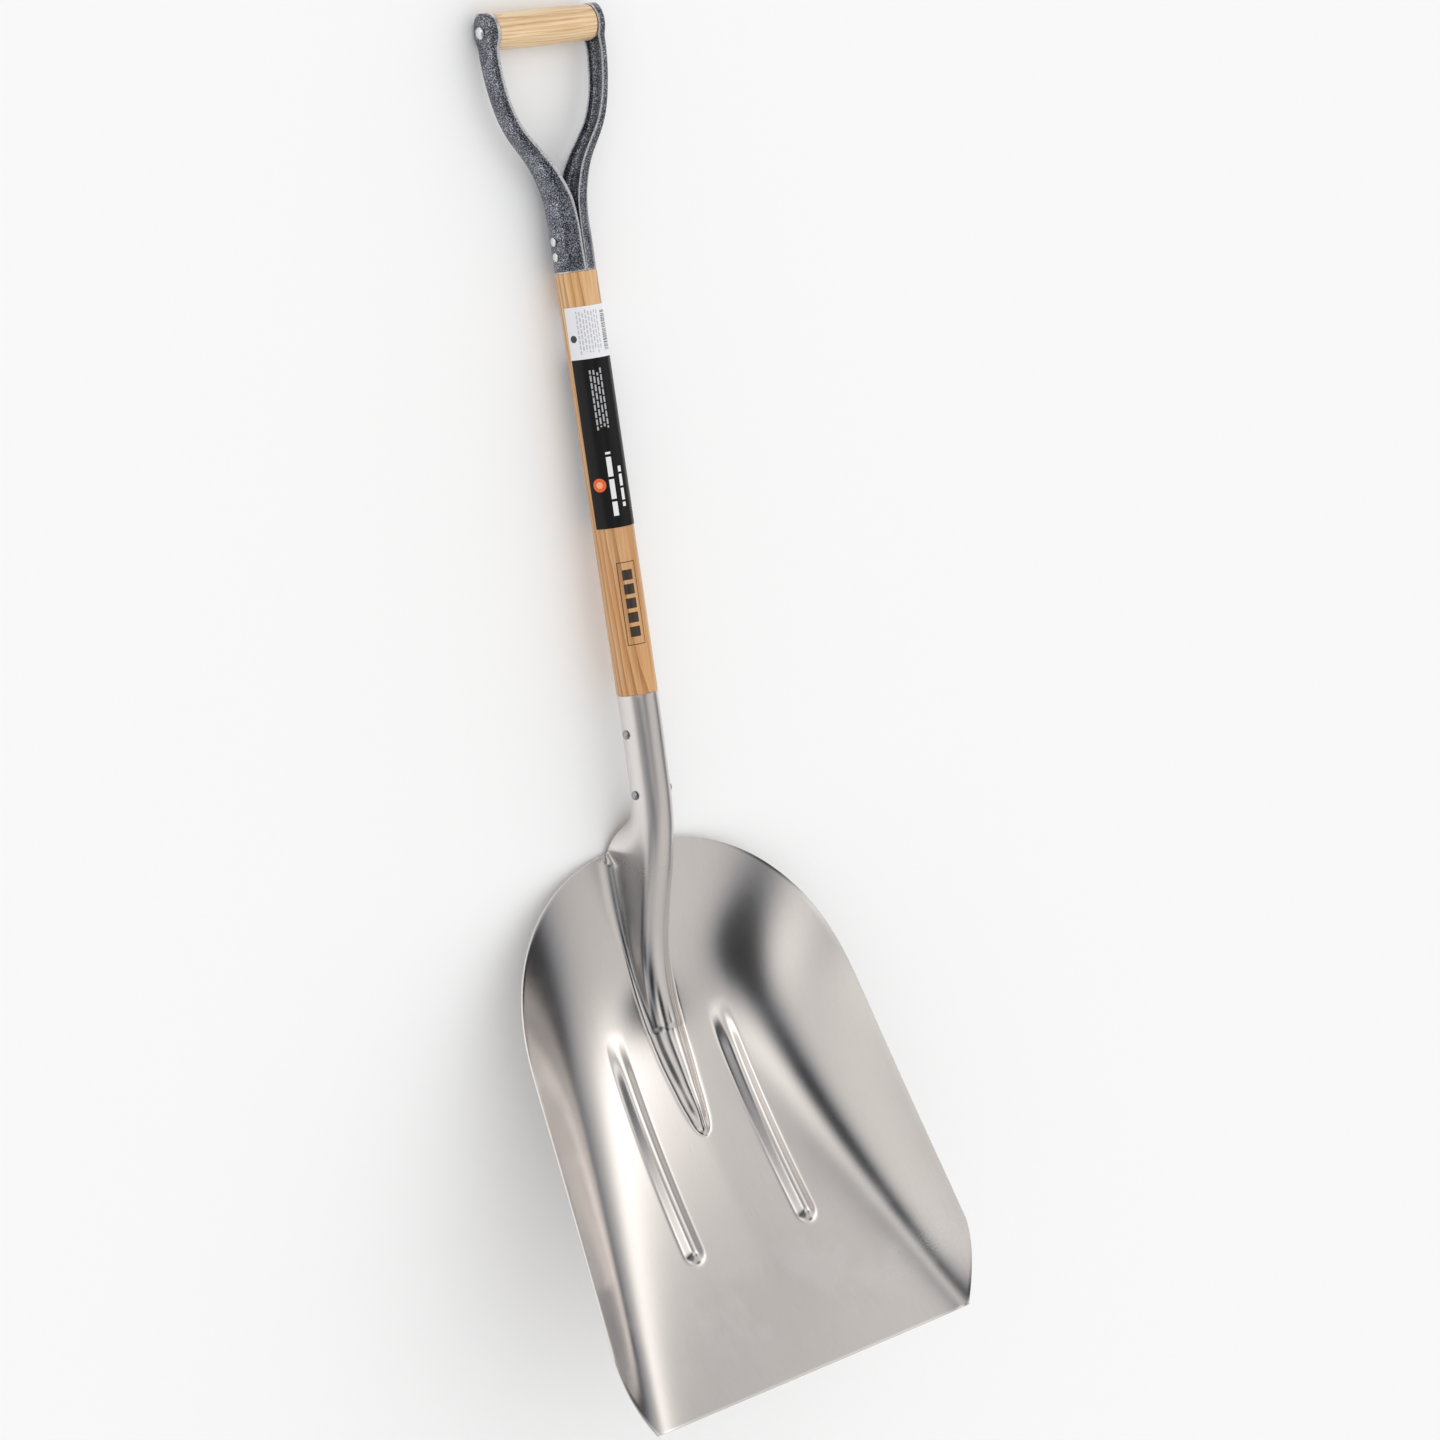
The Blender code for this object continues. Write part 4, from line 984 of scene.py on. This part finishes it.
# --------------------------------------------------------------------- the blade
TOP = full_sheet(half_blade(80, 216, 44, 24))
UNDER = offset(TOP, SHEET)
sheet_uv = np.zeros_like(TOP)
du = np.linalg.norm(np.diff(TOP, axis=1), axis=2)
sheet_uv[:, 1:, 0] = np.cumsum(du, axis=1)
sheet_uv[:, :, 0] -= sheet_uv[:, TOP.shape[1] // 2, 0][:, None]
dv = np.linalg.norm(np.diff(TOP[:, TOP.shape[1] // 2], axis=0), axis=1)
sheet_uv[1:, :, 1] = np.cumsum(dv)[:, None]
blade = shell("blade_sheet", TOP, UNDER, 0.0005, attrs={"sheet": sheet_uv})
dress(blade, ALU, "blade_aluminium", "blade")

# --------------------------------------------------------------------- the shaft
def fine_shaft(k=96):
    rings = []
    start = S_AT_Y(0.357)
    n = 60
    ang = np.array([2 * math.pi * j / k for j in range(k)])
    for i in range(n + 1):
        s = start + (FROG_LEN - 0.012 - start) * i / n
        p, t = crest(s)
        nrm = np.array([-t[1], t[0]])
        rad = float(frog_radius(p[0]))
        c = p - nrm * rad
        loose = GAP + 0.0006 * (1.0 - float(smooth((s - S_AT_Y(0.50)) / 0.05)))
        rw = rad - SHEET - loose - 0.0003
        h = np.linspace(0.0, 0.05, 200)
        yy, zz = c[0] - nrm[0] * (h - rw), c[1] - nrm[1] * (h - rw)
        low = np.nonzero(zz < wall_z(np.full_like(yy, 0.026), yy) - SHEET + 0.0010)[0]
        cut_n = rw - h[low[0]] if len(low) and s < S_END_BOWL + 0.004 else -1.0
        x, m = rw * np.sin(ang), np.maximum(rw * np.cos(ang), cut_n)
        rings.append(np.stack([x, c[0] + nrm[0] * m, c[1] + nrm[1] * m], axis=1))
    prof = [(-0.0004, TENON_R), (GAP, TENON_R), (GAP, SHAFT_R - 0.0012)]
    for a in (20, 45, 70, 90):
        prof.append((GAP + 0.0012 * (1 - math.cos(math.radians(a))), SHAFT_R - 0.0012 + 0.0012 * math.sin(math.radians(a))))
    for f in np.linspace(0.03, 0.97, 24):
        prof.append((SHAFT_LEN * f, SHAFT_R + 0.0001 * math.sin(9.0 * f)))
    for a in (90, 70, 45, 20):
        prof.append((SHAFT_LEN - GAP - 0.0012 * (1 - math.cos(math.radians(a))), SHAFT_R - 0.0012 + 0.0012 * math.sin(math.radians(a))))
    prof += [(SHAFT_LEN - GAP, SHAFT_R - 0.0012), (SHAFT_LEN - GAP, TENON_R - 0.0002),
             (SHAFT_LEN + TENON_TOP - 0.003, TENON_R - 0.0002), (SHAFT_LEN + TENON_TOP, TENON_R - 0.0032)]
    for s, r in prof:
        rings.append(np.array(handle_ring(s, r, k)))
    at = {"grain": grain_at(np.concatenate(rings))}
    return lathe_rings("shaft_wood", rings, 35.0, at)

dress(fine_shaft(), WOOD, "shaft_wood", "shaft")

# ---------------------------------------------------------------- the D-grip arms
def arm(name, side, node):
    def place(g):
        out = np.empty_like(g)
        for idx in np.ndindex(g.shape[:2]):
            x, s, n = g[idx]
            out[idx] = handle_point(s, side * x, n)
        return out
    k, rows, eye = 40, 130, 22
    outer, inner = place(arm_grid(0.0, k, rows, eye)), place(arm_grid(STEEL, k, rows, eye))
    # painted highlight: the cut edges carry a mark that the paint turns pale and metallic, stronger and two columns
    # wide on the arm built with side -1, to paint the bright line of light along them
    rim = np.zeros_like(outer)
    rim[:, 0, 0] = rim[:, -1, 0] = rim[0, :, 0] = 0.80 if side > 0 else 1.0
    if side < 0:
        rim[:, 1, 0] = rim[:, -2, 0] = 0.9
    ob = shell(name, outer, inner, 0.0007, folded=True, steps=5, sharp=60.0, attrs={"rim": rim})
    return dress(ob, PAINT, "grip_paint", node)

arm("pressed_arm_left", 1.0, "grip_arm_left")
arm("pressed_arm_right", -1.0, "grip_arm_right")

# -------------------------------------------------------------------- hand grip
INNER = EYE_X - STEEL
CUP_RIM = EYE_X - 0.0100
half = [(0.0, GRIP_R + 0.0004), (0.010, GRIP_R + 0.00038), (0.020, GRIP_R + 0.0003), (0.030, GRIP_R + 0.0002), (0.040, GRIP_R), (CUP_RIM - 0.0030, GRIP_R - 0.0003)]
half += [(CUP_RIM - 0.0022 + 0.0014 * math.sin(math.radians(a)), GRIP_R - 0.0003 - 0.0014 * (1 - math.cos(math.radians(a)))) for a in (0, 30, 60, 90)]
half += [(CUP_RIM - 0.0008, EYE_R - STEEL - 0.0012), (INNER - 0.0050, EYE_R - STEEL - 0.0012),
         (INNER - 0.0028, EYE_R - STEEL - 0.0032), (INNER - 0.0012, EYE_R - STEEL - 0.0060)]
prof = [(-x, r) for x, r in half[:0:-1]] + half
dress(turned("turned_grip", handle_point(GRIP_S), prof, 96, 35.0, True), GRIP_WOOD, "grip_wood", "hand_grip")

# ----------------------------------------------------------------------- rivets
def rivet(name, s, half_span, shank, head_r, head_h, mat, slot, node, seat=GAP):
    h = half_span + seat
    pr = [(h, shank), (h, head_r - 0.0002), (h + 0.0002, head_r)]
    for i in range(1, 13):
        a = 0.5 * math.pi * i / 13
        pr.append((h + 0.0003 + (head_h - 0.0003) * math.sin(a), head_r * math.cos(a)))
    pr = [(-x, r) for x, r in pr[::-1]] + pr
    return dress(turned(name, handle_point(s), pr, 40, 50.0), mat, slot, node)

rivet("rivet_hand_grip", GRIP_S, EYE_X, 0.0028, 0.0058, 0.0036, BRIGHT, "bright_rivet", "grip_rivet")
for nm, ds in zip(("lower", "upper"), RIVET_COLLAR):
    rivet("rivet_collar_" + nm, SHAFT_LEN + ds, COLLAR_R, 0.0022, 0.0042, 0.0018, BRIGHT, "bright_rivet", "collar_rivet_" + nm)
for nm, ds in zip(("upper", "lower"), RIVET_SOCKET):
    rivet("rivet_socket_" + nm, -ds, SOCKET_R, 0.0022, 0.0044, 0.0026, DULL, "dull_rivet", "socket_rivet_" + nm)

# ------------------------------------------------------------------------ label
def film():
    rows, angs = 60, 110
    outer, inner, uv = [], [], []
    for i in range(rows + 1):
        s = LABEL_S[0] + (LABEL_S[1] - LABEL_S[0]) * i / rows
        ro, ri, ru = [], [], []
        for j in range(angs + 1):
            d = LABEL_A[0] + (LABEL_A[1] - LABEL_A[0]) * j / angs
            a = math.radians(d)
            for rad, row in ((SHAFT_R + 0.0006, ro), (SHAFT_R + 0.00035, ri)):
                row.append(handle_point(s, rad * math.sin(a), rad * math.cos(a)))
            ru.append((d, s, 0.0))
        outer.append(ro), inner.append(ri), uv.append(ru)
    return shell("label_wrap", np.array(outer), np.array(inner), 0.00008, steps=2, attrs={"film": np.array(uv)})

dress(film(), LABEL, "label_film", "label")

# ------------------------------------------------------------- floor and lights
def plane(name, size, z):
    me = bpy.data.meshes.new(name)
    bm = bmesh.new()
    bmesh.ops.create_grid(bm, x_segments=8, y_segments=8, size=size)
    bm.to_mesh(me)
    bm.free()
    ob = link(bpy.data.objects.new(name, me))
    ob.location.z = z
    return ob

floor = plane("floor", 30.0, -0.0002)
fm = Nodes("pale_floor")
fm.bsdf.inputs["Base Color"].default_value = (0.90, 0.90, 0.90, 1.0)
fm.bsdf.inputs["Roughness"].default_value = 0.85
fm.bsdf.inputs["Specular IOR Level"].default_value = 0.1
floor.data.materials.append(fm.mat)

# A studio all round: a soft gradient with bright panels and dark gaps, which is
# what the polished sheet mirrors.  Each panel is (brightness, tightness,
# azimuth, elevation) in degrees, azimuth 0 towards +Y and 90 towards +X.
SKY = (0.040, 0.459, -0.262, 0.189)     # evenly, by height, by X, by Y
PANELS = [
    (-1.47, 70, 254, 90),
    (-1.05, 18, 181, 61),
    (-1.12, 14, 70, 59),
    (-1.49, 50, 93, 29),
    (-0.74, 72, 60, 25),
    (-1.10, 39, 283, 5),
    (-1.50, 183, 255, 52),
    (1.20, 39, 247, 39),
    (1.22, 68, 206, 63),
    (2.00, 80, 177, 48),
    (0.89, 36, 92, 72),
    (1.48, 2, 110, 7),
]

def studio():
    w = bpy.data.worlds.new("studio")
    bpy.context.scene.world = w
    w.use_nodes = True
    w.cycles.sampling_method = "NONE"
    tree = w.node_tree
    def add(kind, **props):
        n = tree.nodes.new(kind)
        for k, v in props.items():
            setattr(n, k, v)
        return n
    def calc(op, a, b=None):
        n = add("ShaderNodeMath", operation=op)
        for k, v in enumerate((a, b)):
            if isinstance(v, (int, float)):
                n.inputs[k].default_value = v
            elif v is not None:
                tree.links.new(v, n.inputs[k])
        return n.outputs[0]
    def dot(vec, c):
        n = add("ShaderNodeVectorMath", operation="DOT_PRODUCT")
        tree.links.new(vec, n.inputs[0])
        n.inputs[1].default_value = c
        return n.outputs["Value"]
    unitv = add("ShaderNodeVectorMath", operation="NORMALIZE")
    tree.links.new(add("ShaderNodeTexCoord").outputs["Generated"], unitv.inputs[0])
    ray = unitv.outputs["Vector"]
    light = calc("ADD", dot(ray, (SKY[2], SKY[3], SKY[1])), SKY[0])
    for a, k, az, el in PANELS:
        az, el = math.radians(az), math.radians(el)
        c = (math.cos(el) * math.sin(az), math.cos(el) * math.cos(az), math.sin(el))
        fall = calc("EXPONENT", calc("MULTIPLY", calc("SUBTRACT", dot(ray, c), 1.0), float(k)))
        light = calc("ADD", light, calc("MULTIPLY", fall, a))
    light = calc("MAXIMUM", light, 0.02)
    tint = add("ShaderNodeValToRGB")
    e = tint.color_ramp.elements
    e[0].position, e[0].color = 0.0, (0.86, 0.96, 1.12, 1.0)
    e[1].position, e[1].color = 0.6, (1.02, 1.0, 0.975, 1.0)
    tree.links.new(light, tint.inputs["Fac"])
    glow = add("ShaderNodeVectorMath", operation="SCALE")
    tree.links.new(tint.outputs["Color"], glow.inputs[0])
    tree.links.new(calc("MULTIPLY", light, SKY_GAIN), glow.inputs["Scale"])
    # soft even light for matt surfaces, and a plain pale backdrop behind the floor
    soft = add("ShaderNodeVectorMath", operation="SCALE")
    soft.inputs[0].default_value = (1.0, 1.0, 1.0)
    tree.links.new(calc("ADD", calc("MULTIPLY", calc("MAXIMUM", dot(ray, SOFT_FROM), 0.0), 0.45), 0.78), soft.inputs["Scale"])
    path = add("ShaderNodeLightPath")
    one = add("ShaderNodeMix", data_type="RGBA")
    tree.links.new(path.outputs["Is Diffuse Ray"], one.inputs[0])
    tree.links.new(glow.outputs["Vector"], one.inputs[6])
    tree.links.new(soft.outputs["Vector"], one.inputs[7])
    two = add("ShaderNodeMix", data_type="RGBA")
    tree.links.new(path.outputs["Is Camera Ray"], two.inputs[0])
    tree.links.new(one.outputs[2], two.inputs[6])
    two.inputs[7].default_value = (0.93, 0.93, 0.93, 1.0)
    tree.links.new(two.outputs[2], tree.nodes["Background"].inputs["Color"])

SKY_GAIN = 1.0
SOFT_FROM = (-0.35, 0.25, 0.90)
studio()

bpy.context.scene.view_settings.view_transform = "Standard"
bpy.context.scene.view_settings.look = "None"
bpy.context.scene.view_settings.exposure = 0.0

# ----------------------------------------------------------------------- camera
camera = link(bpy.data.objects.new("camera", bpy.data.cameras.new("camera")))
camera.data.lens = 80.25
camera.data.sensor_width = 36.0
camera.data.clip_start = 0.05
camera.data.clip_end = 100.0
camera.location = (1.70309, -0.56778, 2.49685)
camera.rotation_mode = "QUATERNION"
camera.rotation_quaternion = (0.086693, 0.313994, -0.075698, 0.942423)
bpy.context.scene.camera = camera
